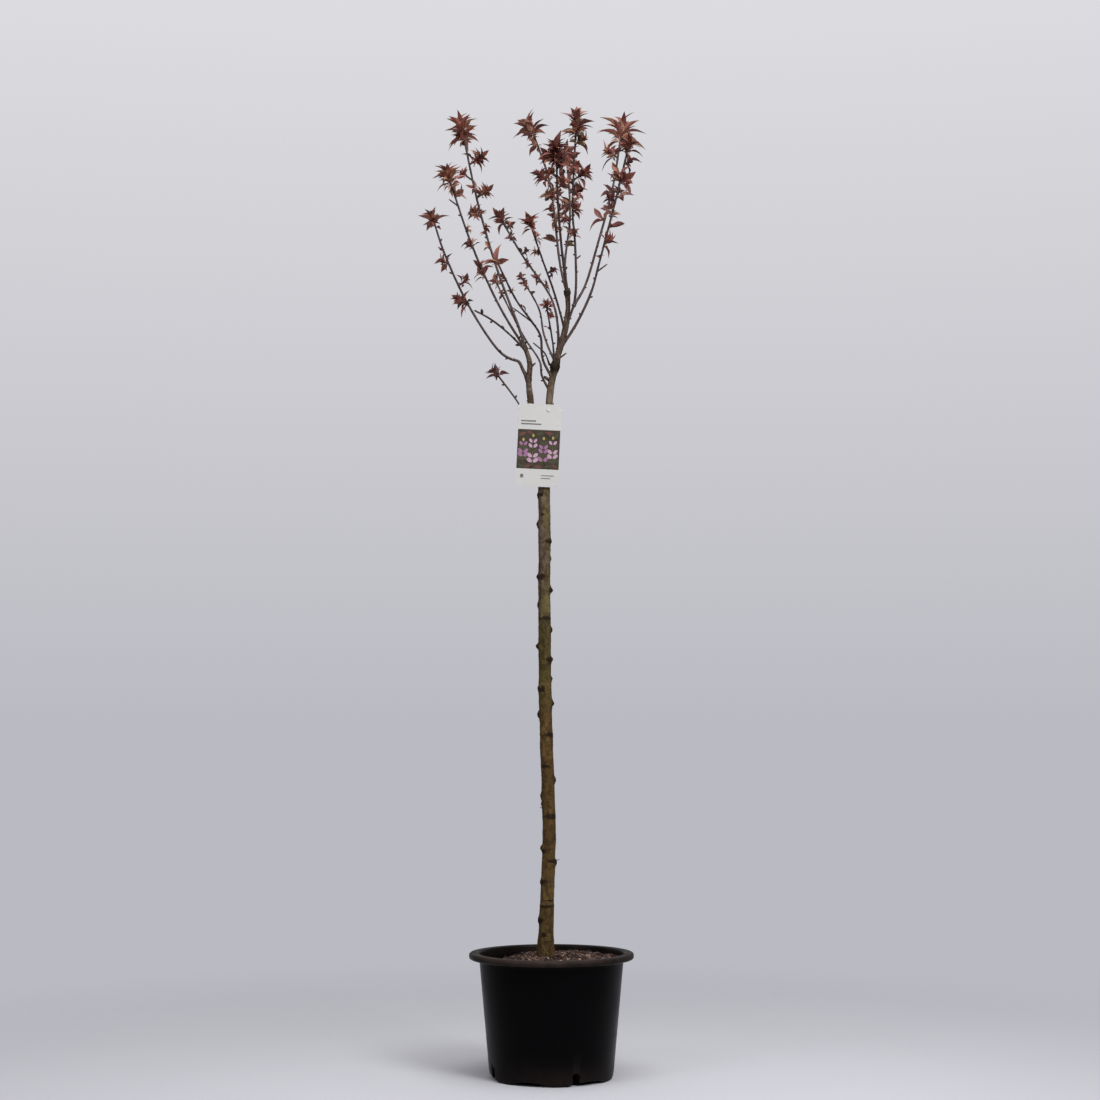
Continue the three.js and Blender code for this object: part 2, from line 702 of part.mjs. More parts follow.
function buildBough(row, parent, rooms) {
  const path = [pointAt(parent, row.root), ...row.via.map(vector), vector(row.tip)];
  const limb = { ...row, taper: BOUGH_TAPER, curve: new THREE.CatmullRomCurve3(path) };
  limb.bareEnd = row.leafy === null ? 1 : parameterAt(limb, row.leafy);
  const steps = limbSteps(limb, 0, limb.bareEnd);
  const whole = limbTube(limb, 0, limb.bareEnd, steps, BOUGH_SIDES);
  limb.solid = mainBody(rooms.reduce((rest, room) => rest.subtract(room), whole));
  limb.room = limbTube(limb, 0, limb.bareEnd, steps, BOUGH_SIDES, LIMB_ROOM);
  return limb;
}

// Leaves

// Five corners and six faces: base, tip, both edges and the midrib's keel below.
function leafCorners(leaf) {
  const across = leaf.along.clone().cross(leaf.face);
  const middle = leaf.base
    .clone()
    .addScaledVector(leaf.along, LEAF_WIDEST_AT * leaf.size)
    .addScaledVector(leaf.face, LEAF_ARCH * leaf.size);
  const halfWidth = LEAF_HALF_WIDTH * leaf.size;
  const edge = (side) =>
    middle
      .clone()
      .addScaledVector(across, side * halfWidth)
      .addScaledVector(leaf.face, LEAF_FOLD * halfWidth);
  return {
    base: leaf.base.clone(),
    tip: leaf.base
      .clone()
      .addScaledVector(leaf.along, leaf.size)
      .addScaledVector(leaf.face, -LEAF_TIP_CURL * leaf.size),
    left: edge(-1),
    right: edge(1),
    keel: middle,
  };
}

function leafSolid(leaf) {
  const { base, tip, left, right, keel } = leafCorners(leaf);
  const corners = [
    [base, right, left], [tip, left, right],
    [base, keel, right], [base, left, keel], [tip, right, keel], [tip, keel, left],
  ];
  const geometry = new THREE.BufferGeometry();
  const positions = corners.flat().flatMap((point) => point.toArray());
  geometry.setAttribute("position", new THREE.Float32BufferAttribute(positions, 3));
  return solidOf(geometry);
}

// A tuft: from the tip down, each leaf sits lower, turns on by the golden angle and leans further out.
function tuftLeaves(random, { base: top, axis, shoot, pitch, count, leafLength }) {
  const reference = Math.abs(axis.z) > NEARLY_PARALLEL ? SIDEWAYS : UPWARDS;
  const first = axis.clone().cross(reference).normalize();
  const second = axis.clone().cross(first);
  const start = 360 * random();
  return Array.from({ length: count }, (_, index) => {
    const share = (index + 0.5) / count;
    const spin = THREE.MathUtils.degToRad(start + index * GOLDEN_DEG);
    const jitter = (2 * random() - 1) * LEAF_TILT_JITTER_DEG;
    const lean = THREE.MathUtils.lerp(LEAF_TILT_INNER_DEG, LEAF_TILT_OUTER_DEG, share) + jitter;
    const tilt = THREE.MathUtils.degToRad(lean);
    const size = leafLength * THREE.MathUtils.lerp(LEAF_SHORTEST, 1, random());
    const along = axis
      .clone()
      .multiplyScalar(Math.cos(tilt))
      .addScaledVector(first, Math.cos(spin) * Math.sin(tilt))
      .addScaledVector(second, Math.sin(spin) * Math.sin(tilt));
    const face = axis.clone().addScaledVector(along, -axis.dot(along)).normalize();
    const base = top.clone().addScaledVector(shoot, -(index + 1) * pitch);
    return { base, along, face, size };
  });
}

function distanceToPath(point, path) {
  let nearest = Infinity;
  for (let i = 0; i + 1 < path.length; i += 1) {
    const segment = new THREE.Line3(path[i], path[i + 1]);
    const foot = segment.closestPointToPoint(point, true, new THREE.Vector3());
    nearest = Math.min(nearest, foot.distanceTo(point));
  }
  return nearest;
}

// A leaf or twig keeps to its own space when each of its corners is nearer its own stem than any other limb.
function keepsToSpace(points, own, others) {
  return points.every((point) => {
    const home = distanceToPath(point, own);
    return others.every((path) => distanceToPath(point, path) > home + SPACE_MARGIN);
  });
}

// A spur starts on the stem and rises outwards. Short ones are buds: their leaves sit on the stem itself.
function spurOf(limb, [height, heading, length, count, leafLength]) {
  const parameter = parameterAt(limb, height);
  const from = limb.curve.getPoint(parameter);
  const axis = headingVector(heading);
  axis.z = TWIG_RISE;
  axis.normalize();
  const to = from.clone().addScaledVector(axis, length);
  const bud = length < SHORTEST_SPUR;
  const pitch = bud ? LEAF_PITCH : Math.min(LEAF_PITCH, (length * SPUR_LEAFY_SHARE) / (count + 1));
  const shoot = bud ? limb.curve.getTangent(parameter) : axis;
  return { from, to, axis, shoot, pitch, count, leafLength, base: bud ? from : to, twig: !bud };
}

function tipOf(limb) {
  const [count, leafLength] = limb.tuft;
  const to = limb.curve.getPoint(1);
  const axis = limb.curve.getTangent(1);
  return { to, axis, shoot: axis, pitch: LEAF_PITCH, count, leafLength, base: to, twig: false };
}

function spurPeg(spur) {
  if (spur.count > 0) return taperedPeg(spur.from, spur.to, SPUR_RADIUS, SPUR_RADIUS, SPUR_SIDES);
  return taperedPeg(spur.from, spur.to, TWIG_ROOT_RADIUS, TWIG_TIP_RADIUS, TWIG_SIDES);
}

// A leafy stem: it carries on from its bough's tip and bears spurs and buds, each with its tuft of leaves.
function leafyStem(limb, limbs) {
  const random = seededRandom(limb.seed);
  const start = limb.bareEnd + GAP / limb.curve.getLength();
  const others = limbs.filter((other) => other !== limb).map((other) => other.samples);
  const inOwnSpace = (points) => keepsToSpace(points, limb.samples, others);
  const parts = [limbTube(limb, start, 1, limbSteps(limb, start, 1), LEAFY_SIDES)];
  for (const spur of [...limb.spurs.map((row) => spurOf(limb, row)), tipOf(limb)]) {
    const leaves = tuftLeaves(random, spur);
    if (!inOwnSpace([spur.to])) continue;
    if (spur.twig) parts.push(spurPeg(spur));
    for (const leaf of leaves) {
      const { tip, left, right } = leafCorners(leaf);
      if (inOwnSpace([tip, left, right])) parts.push(leafSolid(leaf));
    }
  }
  return mainBody(joined(parts));
}

// Label and its tie

function cardOutline() {
  const outline = new THREE.Shape();
  const topX = CARD_WIDTH / 2 - CARD_CORNER_TOP;
  const topZ = CARD_HEIGHT / 2 - CARD_CORNER_TOP;
  const lowX = CARD_WIDTH / 2 - CARD_CORNER_BOTTOM;
  const lowZ = CARD_HEIGHT / 2 - CARD_CORNER_BOTTOM;
  outline.absarc(lowX, -lowZ, CARD_CORNER_BOTTOM, -Math.PI / 2, 0);
  outline.absarc(topX, topZ, CARD_CORNER_TOP, 0, Math.PI / 2);
  outline.absarc(-topX, topZ, CARD_CORNER_TOP, Math.PI / 2, Math.PI);
  outline.absarc(-lowX, -lowZ, CARD_CORNER_BOTTOM, Math.PI, 1.5 * Math.PI);
  return outline;
}

function tiePlace(rightStem) {
  return pointAt(rightStem, TIE_HEIGHT);
}

function card(rightStem) {
  const lean = THREE.MathUtils.degToRad(CARD_LEAN_DEG);
  const place = tiePlace(rightStem);
  const holeX = place.x - CARD_CENTRE[0];
  const holeZ = place.z - CARD_CENTRE[1];
  const outline = cardOutline();
  const hole = new THREE.Path();
  const localX = holeX * Math.cos(lean) - holeZ * Math.sin(lean);
  const localZ = holeX * Math.sin(lean) + holeZ * Math.cos(lean);
  hole.absarc(localX, localZ, CARD_HOLE_RADIUS, 0, 2 * Math.PI, true);
  outline.holes.push(hole);
  const geometry = new THREE.ExtrudeGeometry(outline, {
    depth: CARD_THICKNESS,
    bevelEnabled: false,
    curveSegments: ROUND_SEGMENTS,
  });
  geometry.rotateX(Math.PI / 2).rotateY(lean);
  geometry.translate(CARD_CENTRE[0], CARD_FACE_Y + CARD_THICKNESS, CARD_CENTRE[1]);
  return named("label_card", solidOf(geometry), "card");
}

// A round peg that lies along Y.
function crossPeg(x, z, fromY, toY, radius) {
  const geometry = new THREE.CylinderGeometry(radius, radius, toY - fromY, TIE_SEGMENTS / 2);
  return solidOf(geometry.translate(x, (fromY + toY) / 2, z));
}

// The loop closes round the stem, and its shank passes through the card's hole to a flat head.
function tie(rightStem) {
  const place = tiePlace(rightStem);
  const inner = limbRadius(rightStem, parameterAt(rightStem, TIE_HEIGHT)) + 2 * GAP;
  const outer = inner + TIE_THICKNESS;
  const profile = [
    [inner, -TIE_WIDTH / 2],
    [outer, -TIE_WIDTH / 2],
    [outer, TIE_WIDTH / 2],
    [inner, TIE_WIDTH / 2],
    [inner, -TIE_WIDTH / 2],
  ].map(([radius, height]) => new THREE.Vector2(radius, height));
  const loop = new THREE.LatheGeometry(profile, TIE_SEGMENTS).rotateX(Math.PI / 2);
  const headBack = CARD_FACE_Y - GAP;
  const headFront = headBack - TIE_HEAD_THICKNESS;
  const shankBack = place.y - inner - TIE_OVERLAP;
  const shank = crossPeg(place.x, place.z, headFront + TIE_OVERLAP, shankBack, TIE_SHANK_RADIUS);
  const head = crossPeg(place.x, place.z, headFront, headBack, TIE_HEAD_RADIUS);
  const ring = solidOf(loop.translate(place.x, place.y, place.z));
  return named("label_tie", mainBody(joined([ring, shank, head])), "tie");
}

// Assembly

function samplesOf(limb) {
  const count = Math.ceil(limb.curve.getLength() / SPACE_STEP);
  return limb.curve.getPoints(count);
}

function growTree() {
  const trunk = buildTrunk();
  const rooms = [trunk.room];
  const limbs = [];
  for (const row of STEMS) {
    const limb = buildStem(row, rooms);
    rooms.push(limb.room);
    limbs.push(limb);
  }
  for (const row of BOUGHS) {
    const parent = limbs.find((limb) => limb.name === row.parent);
    const limb = buildBough(row, parent, rooms);
    rooms.push(limb.room);
    limbs.push(limb);
  }
  limbs.forEach((limb) => (limb.samples = samplesOf(limb)));
  return { trunk, limbs };
}

function plant() {
  const { trunk, limbs } = growTree();
  const group = new THREE.Group();
  group.add(named("trunk", trunk.solid, "bark"));
  const [stems, boughs] = [limbs.slice(0, STEMS.length), limbs.slice(STEMS.length)];
  stems.forEach((limb) => group.add(named(limb.name, limb.solid, "bark")));
  boughs.forEach((limb) => group.add(named(`bough_${limb.name}`, limb.solid, "twig")));
  boughs
    .filter((limb) => limb.leafy !== null)
    .forEach((limb) => group.add(named(`leaves_${limb.name}`, leafyStem(limb, limbs), "leaf")));
  const rightStem = limbs.find((limb) => limb.name === "stem_right");
  group.add(card(rightStem), tie(rightStem));
  return group;
}

const root = new THREE.Group();
root.add(pot(), soil(), plant());

export default root;
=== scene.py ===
"""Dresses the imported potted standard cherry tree: pot, bark compost, trunk and boughs with their bark,
twigs, buds and young bronze leaves, the hanging card, a plain floor, soft light and a camera.

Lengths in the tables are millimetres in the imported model's own frame; meshes are made in metres."""
import math
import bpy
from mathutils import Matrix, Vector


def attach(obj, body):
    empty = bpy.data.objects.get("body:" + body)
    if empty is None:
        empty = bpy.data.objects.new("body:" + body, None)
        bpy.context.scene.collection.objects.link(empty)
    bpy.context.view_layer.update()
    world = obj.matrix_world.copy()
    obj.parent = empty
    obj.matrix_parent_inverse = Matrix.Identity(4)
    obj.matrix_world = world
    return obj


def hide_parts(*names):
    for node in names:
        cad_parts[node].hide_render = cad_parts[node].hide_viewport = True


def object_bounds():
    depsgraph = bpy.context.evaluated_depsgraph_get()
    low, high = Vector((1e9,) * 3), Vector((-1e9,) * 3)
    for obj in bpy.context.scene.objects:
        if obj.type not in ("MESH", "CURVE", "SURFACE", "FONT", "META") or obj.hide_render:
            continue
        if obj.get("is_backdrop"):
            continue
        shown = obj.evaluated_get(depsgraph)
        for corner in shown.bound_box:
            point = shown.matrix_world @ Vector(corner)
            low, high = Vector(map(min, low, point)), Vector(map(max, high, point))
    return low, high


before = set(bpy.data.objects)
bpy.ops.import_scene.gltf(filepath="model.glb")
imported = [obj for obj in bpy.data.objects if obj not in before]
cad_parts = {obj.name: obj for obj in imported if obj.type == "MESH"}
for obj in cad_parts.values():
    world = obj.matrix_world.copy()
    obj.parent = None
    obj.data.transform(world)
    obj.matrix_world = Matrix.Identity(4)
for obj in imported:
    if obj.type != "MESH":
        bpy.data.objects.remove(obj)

from types import SimpleNamespace

import bpy
import numpy as np

bl_info = {
    "name": "Potted standard cherry tree",
    "version": (1, 0, 0),
    "blender": (4, 5, 0),
    "location": "3D View > Sidebar > Cherry tree",
    "description": "Builds the looks of a young standard cherry in a nursery pot over its packed model",
    "category": "Object",
}

BODY = "root"
MM = 0.001
LARGEST_WHOLE = 2**31 - 1

# Angles above which an edge of a piece shades sharp.
POT_CREASE_DEG = 40
CHIP_CREASE_DEG = 30
LIMB_CREASE_DEG = 60
LEAF_CREASE_DEG = 32
CARD_CREASE_DEG = 40

# Pot.
POT_HEIGHT = 262
POT_BASE_RADIUS = 131.6
POT_TOP_RADIUS = 154
POT_FLOOR = 3.5
POT_CORNER = 5
LIP_RADIUS = 175.7
LIP_HEIGHT = 13
LIP_ROUND = 4.5
LIP_INNER_RADIUS = 153.5
INNER_WALL_RADIUS = 151.2
INNER_FOOT_RADIUS = 127.8
FOOT_RING_INNER = 106.8
FOOT_RING_HEIGHT = 13
FEET = 6
FIRST_FOOT_DEG = -82
ARCH_WIDTH = 108
ARCH_HEIGHT = 8
ARCH_START_BELOW = 1
SLOTS = 4
FIRST_SLOT_DEG = -67
SLOT_WIDTH = 17
SLOT_HEIGHT = 26
SLOT_EDGE_DEG = 0.04
SLOT_COLUMNS = 15
NOTCH_ROOF = 3
BEND_ROWS = 6
WALL_ROWS = 34
WALL_SPAN = (0.03, 0.992)
UNDERSIDE_EDGE = 0.3
FLOOR_EDGE = (3, 6)
# From the wall's top to the lip: how far outwards and upwards.
NECK = [(0.6, -0.4), (2.4, 0)]

# Dust on the pot, from 0 to 1: at the foot, up the wall, on the lip's three bends and inside it.
FOOT_DUST = 0.3
WALL_DUST = 0.22
WALL_DUST_REACH = 0.12
LIP_DUST = (0.55, 1.0, 0.8)
INNER_DUST = 0.35
BACK_DUST_SHARE = 0.35
DUSTY_REACH_DEG = 62

# Compost.
SOIL_LEVEL = 251
SOIL_DIP = 19
SOIL_DIP_START = 50
SOIL_DIP_END = 135
SOIL_RIPPLE = 1.6
SOIL_RIPPLE_PITCH = 31
SOIL_FLAT_RADIUS = 38
SOIL_RADIUS = 150.2
SOIL_UNDERSIDE = 205
BED_BELOW_CHIPS = 2.2
BED_SIDES = 180
BED_RINGS = 64
# Crumbs of the bed: height, pitch and seed of each noise.
BED_CRUMBS = [(1.7, 9, 4), (0.9, 3.4, 5)]
MOUND_HEIGHT = 5
MOUND_START = 4
MOUND_REACH = 9

# Chips: their length is the usual one times a least part plus a share of a power of chance; width and
# thickness are shares of it. Then how ragged, tilted, sunk and heaped they are.
CHIP_LEAST = 0.28
CHIP_SPREAD = 1.5
CHIP_POWER = 2.4
CHIP_WIDTH = (0.24, 0.72)
CHIP_THICKNESS = (0.12, 0.36)
CHIP_RAGGED = (0.45, 1.1)
CHIP_TILT = 0.4
CHIP_SINK = 1.2
CHIP_HEAP = (-1.4, 1.8)

# Shares of each colour of chip, and its dark and pale tint. The last is pale wood.
CHIP_SHARES = [0.27, 0.24, 0.16, 0.21, 0.08, 0.04]
CHIP_COLOURS = [
    ((38, 25, 20), (64, 43, 36)), ((58, 38, 32), (90, 62, 53)), ((80, 55, 47), (116, 86, 76)),
    ((22, 15, 13), (40, 28, 24)), ((98, 76, 66), (134, 108, 96)), ((144, 122, 106), (180, 160, 142)),
]
CHIP_QUADS = np.array([[0, 2, 3, 1], [4, 5, 7, 6], [0, 1, 5, 4], [2, 6, 7, 3], [0, 4, 6, 2], [1, 3, 7, 5]])

# Trunk.
GAP = 0.3
TRUNK_FOOT = SOIL_LEVEL + GAP
TRUNK_BURIED = 4
TRUNK_LOW_RADIUS = 15
TRUNK_HIGH_RADIUS = 12.3
ROOT_FLARE = 6
ROOT_FLARE_REACH = 30
FORK_SWELLING = 4.5
FORK_HEIGHT = 1348
FORK_REACH = 24
CREST_RISE = 5
CREST_STEPS_DEG = [18, 40, 62, 80]

# Headings round a limb, in degrees from +X.
RIGHT = 0
BACK = 90
LEFT = 180
FRONT = -90
FRONT_LEFT = -150
FRONT_RIGHT = -30
BACK_LEFT = 150
BACK_RIGHT = 30

# The trunk's middle line.
TRUNK_PATH = [
    (-13, 0, TRUNK_FOOT), (-10, 2, 350), (-5, 4, 500), (-8, 3, 630), (-13, 0, 780), (-15, -2, 1000),
    (-16, -1, 1250), (-20, 0, 1362),
]

# Knots left by pruned spurs: height, heading and how far each stands out.
KNOTS = [
    (330, LEFT, 3), (412, FRONT_LEFT, 4), (452, RIGHT, 4), (482, LEFT, 5), (593, LEFT, 3), (627, RIGHT, 4),
    (768, LEFT, 5), (792, RIGHT, 5), (822, FRONT_LEFT, 4), (886, FRONT_RIGHT, 6), (915, LEFT, 6),
    (950, RIGHT, 4), (1005, LEFT, 3), (1036, RIGHT, 6), (1065, FRONT_LEFT, 6), (1142, FRONT_RIGHT, 4),
    (1180, LEFT, 5), (1243, FRONT_LEFT, 4), (435, BACK, 4), (575, BACK_LEFT, 4), (685, BACK, 5),
    (845, BACK_RIGHT, 5), (985, BACK, 5), (1105, BACK_RIGHT, 4),
]

# How a knot stands out and is pitted (share of its size, reach), and the collar round it (distance,
# reach, height, darkness). Its dark mark has a reach of its own.
KNOT_BELL = (1.15, 5.0)
KNOT_PIT = (1.2, 1.5)
KNOT_COLLAR = (6.5, 1.6, 0.35, 0.3)
KNOT_MARK_REACH = 6.2

# Lobes of the root flare: height, number and turn.
ROOT_LOBES = [(2.4, 4, 0.7), (1.2, 7, 2)]

# Rings where a year's growth ended, by height on the trunk.
TRUNK_RINGS = [288, 361, 548, 726, 975, 1141]

# Dark scars and half rings on the trunk: height, heading, and reach up and round the bark.
TRUNK_SCARS = [
    (300, -105, 4, 5), (330, -140, 5, 6), (360, -90, 2.6, 19), (372, -70, 1.6, 12), (412, -128, 5, 5),
    (455, -55, 4, 9), (476, -145, 5, 7), (550, -64, 5.5, 13), (657, -112, 3.4, 13), (725, -60, 5.5, 12),
    (822, -114, 7, 7), (886, -48, 6, 9), (975, -76, 4.5, 13), (1036, -18, 6, 6), (1065, -118, 7, 7),
    (1142, -60, 4.5, 8), (1200, -112, 3, 4), (1243, -116, 6, 5), (700, 60, 5, 12), (1010, 110, 4, 12),
    (520, 130, 5, 9), (860, 80, 5, 12), (1180, 50, 4, 10), (400, 70, 5, 12),
]

# Dead hair-thin spurs low on the trunk: height, heading and length.
HAIR_SPURS = [(455, FRONT_RIGHT, 14), (566, LEFT, 7)]

# The stems: path, radii at both ends, bulges (height, swelling, reach), stubs (height, heading, length,
# radius).
STEMS = {
    "stem_left": (
        [(-22, 0, 1338), (-43, -1, 1408), (-46, -2, 1455), (-50, -3, 1495), (-47, -3, 1530), (-59, -4, 1573)],
        (7.7, 4.5), [(1500, 1.5, 9)], [(1522, FRONT_RIGHT, 14, 2.2)],
    ),
    "stem_right": (
        [(-16, 0, 1338), (-7, 1, 1408), (-2, 2, 1476), (11, 2, 1540), (29, 3, 1604), (36, 4, 1652),
         (35, 4, 1696)],
        (8.7, 4.7), [(1526, 4, 12), (1692, 2.4, 8)], [(1492, LEFT, 17, 3.6), (1540, RIGHT, 22, 2)],
    ),
}

# The boughs: parent, height of the root on it, seed, points from there to the tip, radii at both ends,
# leaves at the tip and their length, and spurs (height, heading, twig length, leaves, leaf length).
BOUGHS = {
    "low_left": ("stem_left", 1384, 54, [(-72, 19, 1448), (-122, 40, 1519)], (2.4, 1.3), (6, 27), []),
    "left_low": (
        "stem_left", 1494, 34,
        [(-63, 3, 1521), (-72, 6, 1538), (-88, 9, 1544), (-112, 12, 1560), (-181, 25, 1664), (-240, 42, 1795),
         (-262, 50, 1864)],
        (4.6, 1.5), (7, 39),
        [(1666, LEFT, 14, 8, 31), (1712, RIGHT, 14, 4, 26), (1760, LEFT, 9, 3, 30), (1797, LEFT, 4, 2, 17)],
    ),
    "left_bare": (
        "stem_left", 1558, 3, [(-86, -42, 1585), (-130, -88, 1613), (-164, -110, 1628)], (2.6, 1.3),
        (0, 0), [],
    ),
    "left_mid": (
        "stem_left", 1561, 51, [(-113, -20, 1655), (-171, -45, 1780), (-224, -70, 1932)],
        (3.3, 1.5), (13, 43),
        [(1725, LEFT, 6, 4, 31), (1738, BACK, 5, 2, 30), (1785, LEFT, 5, 3, 31), (1820, RIGHT, 6, 2, 17),
         (1868, LEFT, 25, 0, 0), (1893, RIGHT, 5, 2, 32)],
    ),
    "left_tall": (
        "stem_left", 1564, 65, [(-73, 5, 1618), (-116, 22, 1736), (-162, 41, 1895), (-201, 60, 2080)],
        (3.8, 1.6), (18, 46),
        [(1800, LEFT, 5, 3, 19), (1832, FRONT_LEFT, 4, 2, 20), (1846, RIGHT, 5, 3, 17),
         (1866, LEFT, 17, 9, 28), (1912, RIGHT, 20, 6, 37), (1935, BACK, 5, 2, 22), (1953, LEFT, 24, 3, 24),
         (1990, RIGHT, 24, 9, 35), (2050, LEFT, 5, 4, 40)],
    ),
    "inner_front": (
        "stem_right", 1500, 25,
        [(-19, -15, 1540), (-24, -32, 1588), (-44, -54, 1617), (-75, -82, 1655), (-115, -130, 1727)],
        (3.2, 1.5), (4, 40),
        [(1615, LEFT, 52, 0, 0), (1645, RIGHT, 5, 1, 15), (1672, FRONT, 5, 1, 15), (1700, LEFT, 5, 2, 18)],
    ),
    "inner_back": (
        "stem_right", 1538, 23, [(15, 28, 1605), (1, 64, 1688), (-66, 112, 1800), (-115, 150, 1892)],
        (3.4, 1.5), (8, 33),
        [(1722, RIGHT, 6, 2, 19), (1742, BACK_LEFT, 6, 3, 20), (1776, LEFT, 6, 3, 18),
         (1802, RIGHT, 8, 5, 21), (1848, BACK, 5, 3, 19), (1868, RIGHT, 8, 4, 21)],
    ),
    "inner_short": (
        "stem_right", 1534, 70, [(-7, 24, 1574), (-18, 46, 1612), (-27, 80, 1668), (-68, 129, 1753)],
        (2.9, 1.3), (4, 17), [(1712, RIGHT, 6, 2, 15), (1728, LEFT, 5, 3, 16), (1740, BACK, 5, 2, 17)],
    ),
    "inner_spur": (
        "stem_right", 1526, 57, [(3, -25, 1572), (-11, -110, 1640)], (2.5, 1.3), (5, 21),
        [(1598, LEFT, 8, 1, 14), (1622, RIGHT, 6, 3, 17)],
    ),
    "low_back": (
        "stem_right", 1470, 9, [(-21, 12, 1508), (-25, 24, 1540), (-61, 64, 1604), (-124, 130, 1740)],
        (3, 1.3), (4, 25), [(1712, BACK_LEFT, 5, 2, 17)],
    ),
    "centre_front": (
        "stem_right", 1607, 72, [(6, -64, 1676), (-22, -128, 1742), (-45, -180, 1800)], (2.9, 1.3), (7, 33),
        [(1711, RIGHT, 11, 4, 20), (1745, LEFT, 8, 4, 20), (1775, FRONT_RIGHT, 6, 3, 19)],
    ),
    "centre_tall": (
        "stem_right", 1686, 47, [(20, 17, 1752), (7, 45, 1870), (-5, 66, 1960), (-46, 90, 2088)],
        (3.4, 1.5), (13, 47),
        [(1812, LEFT, 6, 2, 42), (1842, RIGHT, 7, 3, 22), (1868, BACK, 7, 3, 27), (1885, LEFT, 6, 3, 28),
         (1912, LEFT, 8, 5, 27), (1935, BACK_RIGHT, 7, 3, 28), (1954, LEFT, 20, 8, 33),
         (2044, LEFT, 5, 2, 30)],
    ),
    "crown_front": (
        "stem_right", 1688, 55, [(22, -55, 1778), (13, -111, 1880), (11, -150, 1968)], (3.6, 1.5), (16, 40),
        [(1848, RIGHT, 8, 3, 27), (1944, LEFT, 16, 6, 35), (1868, FRONT_LEFT, 8, 3, 29),
         (1892, RIGHT, 9, 4, 32), (1914, LEFT, 9, 4, 33), (1930, FRONT_RIGHT, 9, 5, 36)],
    ),
    "crown_back": (
        "stem_right", 1690, 71, [(30, 40, 1761), (42, 102, 1889), (35, 170, 2044)], (3.4, 1.5), (9, 41),
        [(1815, RIGHT, 5, 2, 28), (1846, BACK_RIGHT, 7, 3, 29), (1880, LEFT, 7, 3, 29),
         (1912, BACK, 9, 4, 32), (1945, RIGHT, 9, 4, 32), (1975, BACK_LEFT, 9, 4, 34),
         (2004, RIGHT, 9, 4, 34)],
    ),
    "right_upright": (
        "stem_right", 1612, 11, [(51, -14, 1671), (52, -38, 1780), (46, -58, 1860), (54, -90, 2048)],
        (3.4, 1.5), (15, 44),
        [(1757, RIGHT, 14, 0, 0), (1810, FRONT, 6, 2, 21), (1862, RIGHT, 7, 3, 30),
         (1890, FRONT_RIGHT, 9, 3, 34), (1914, LEFT, 8, 2, 20), (1922, RIGHT, 24, 8, 33),
         (1970, FRONT_LEFT, 8, 3, 30), (1998, RIGHT, 10, 6, 34)],
    ),
    "right_tall": (
        "right_upright", 1658, 10, [(72, -1, 1701), (104, 23, 1810), (136, 48, 1935), (158, 72, 2074)],
        (3.3, 1.6), (15, 59),
        [(1862, LEFT, 7, 3, 43), (1890, BACK_RIGHT, 7, 3, 29), (1925, BACK, 8, 3, 31),
         (1960, RIGHT, 7, 3, 29), (2008, LEFT, 13, 6, 43)],
    ),
    "right_outer": (
        "stem_right", 1564, 56,
        [(55, -9, 1620), (87, -22, 1687), (105, -34, 1752), (141, -55, 1888), (168, -70, 2000)],
        (3.6, 1.5), (9, 38),
        [(1730, RIGHT, 28, 0, 0), (1762, FRONT_LEFT, 5, 2, 18), (1794, RIGHT, 7, 5, 36),
         (1824, RIGHT, 5, 2, 43), (1850, FRONT_RIGHT, 6, 2, 25), (1880, LEFT, 8, 4, 30),
         (1886, RIGHT, 8, 3, 36), (1918, RIGHT, 8, 8, 35), (1936, FRONT_LEFT, 8, 3, 30),
         (1958, RIGHT, 9, 4, 36)],
    ),
}
BARE_BOUGH = "left_bare"

# The twig that leaves the right stem towards the viewer, bare but for its buds.
BARE_TWIG = [(-4, 0, 1530), (-15, -34, 1550), (-39, -60, 1567)]
BARE_TWIG_RADII = (1.7, 1.0)

BOUGH_TAPER = 0.5
COLLAR_SWELLING = 0.5
COLLAR_REACH = 12
TWIG_ROOT_RADIUS = 1.9
TWIG_TIP_RADIUS = 1.3
SPUR_RADIUS = 2.2
TWIG_RISE = 0.75
NEARLY_PARALLEL = 0.9
HALVINGS = 40

# Bark over the frame's limbs: at the root and the tip of a stem and of a bough.
STEM_BARK = (0.4, 0.4)
BOUGH_BARK = (0.15, 0.6)

# Depth of the bark's lumps, long ridges and fine grain.
TRUNK_GRAIN = (0.75, 0.5, 0.3)
STEM_GRAIN = (0.7, 0.42, 0.24)

# Sides of the limbs' tubes, and distance between their rings.
TRUNK_SIDES = 72
STEM_SIDES = 40
BOUGH_SIDES = 12
TRUNK_STEP = 2
BOUGH_STEP = 3

# Distance between a bough's joints, and their height and reach.
JOINT_PITCH = 23
JOINT_RISE = 0.22
JOINT_REACH = 1.7

# Radii of stubs and spurs from root to tip, as shares of their own radius, and of the shoot at a tip.
STUB_SHAPE = [1.25, 1.0, 0.92, 0.98, 0.9, 0.5]
SPUR_SHAPE = [1.05, 0.86, 1.0, 0.84, 1.0, 0.85, 0.96, 0.6]
TIP_RADII = [1.7, 2.2, 1.9, 1.1]
HAIR_RADII = [1.3, 0.8, 0.45]

# Buds. On the bough that has no leaves they are larger and closer together by the growth.
BUD_LENGTH = 6.4
BUD_RADII = [1.3, 1.9, 2.0, 1.5, 0.7]
BUD_GROWTH = (0.55, 1.2)
BUD_SPREAD = (0.67, 1.33)
BARE_BUD_GROWTH = 1.5
STEM_CLEAR_OF_BUDS = 60
TIP_CLEAR_OF_BUDS = 8

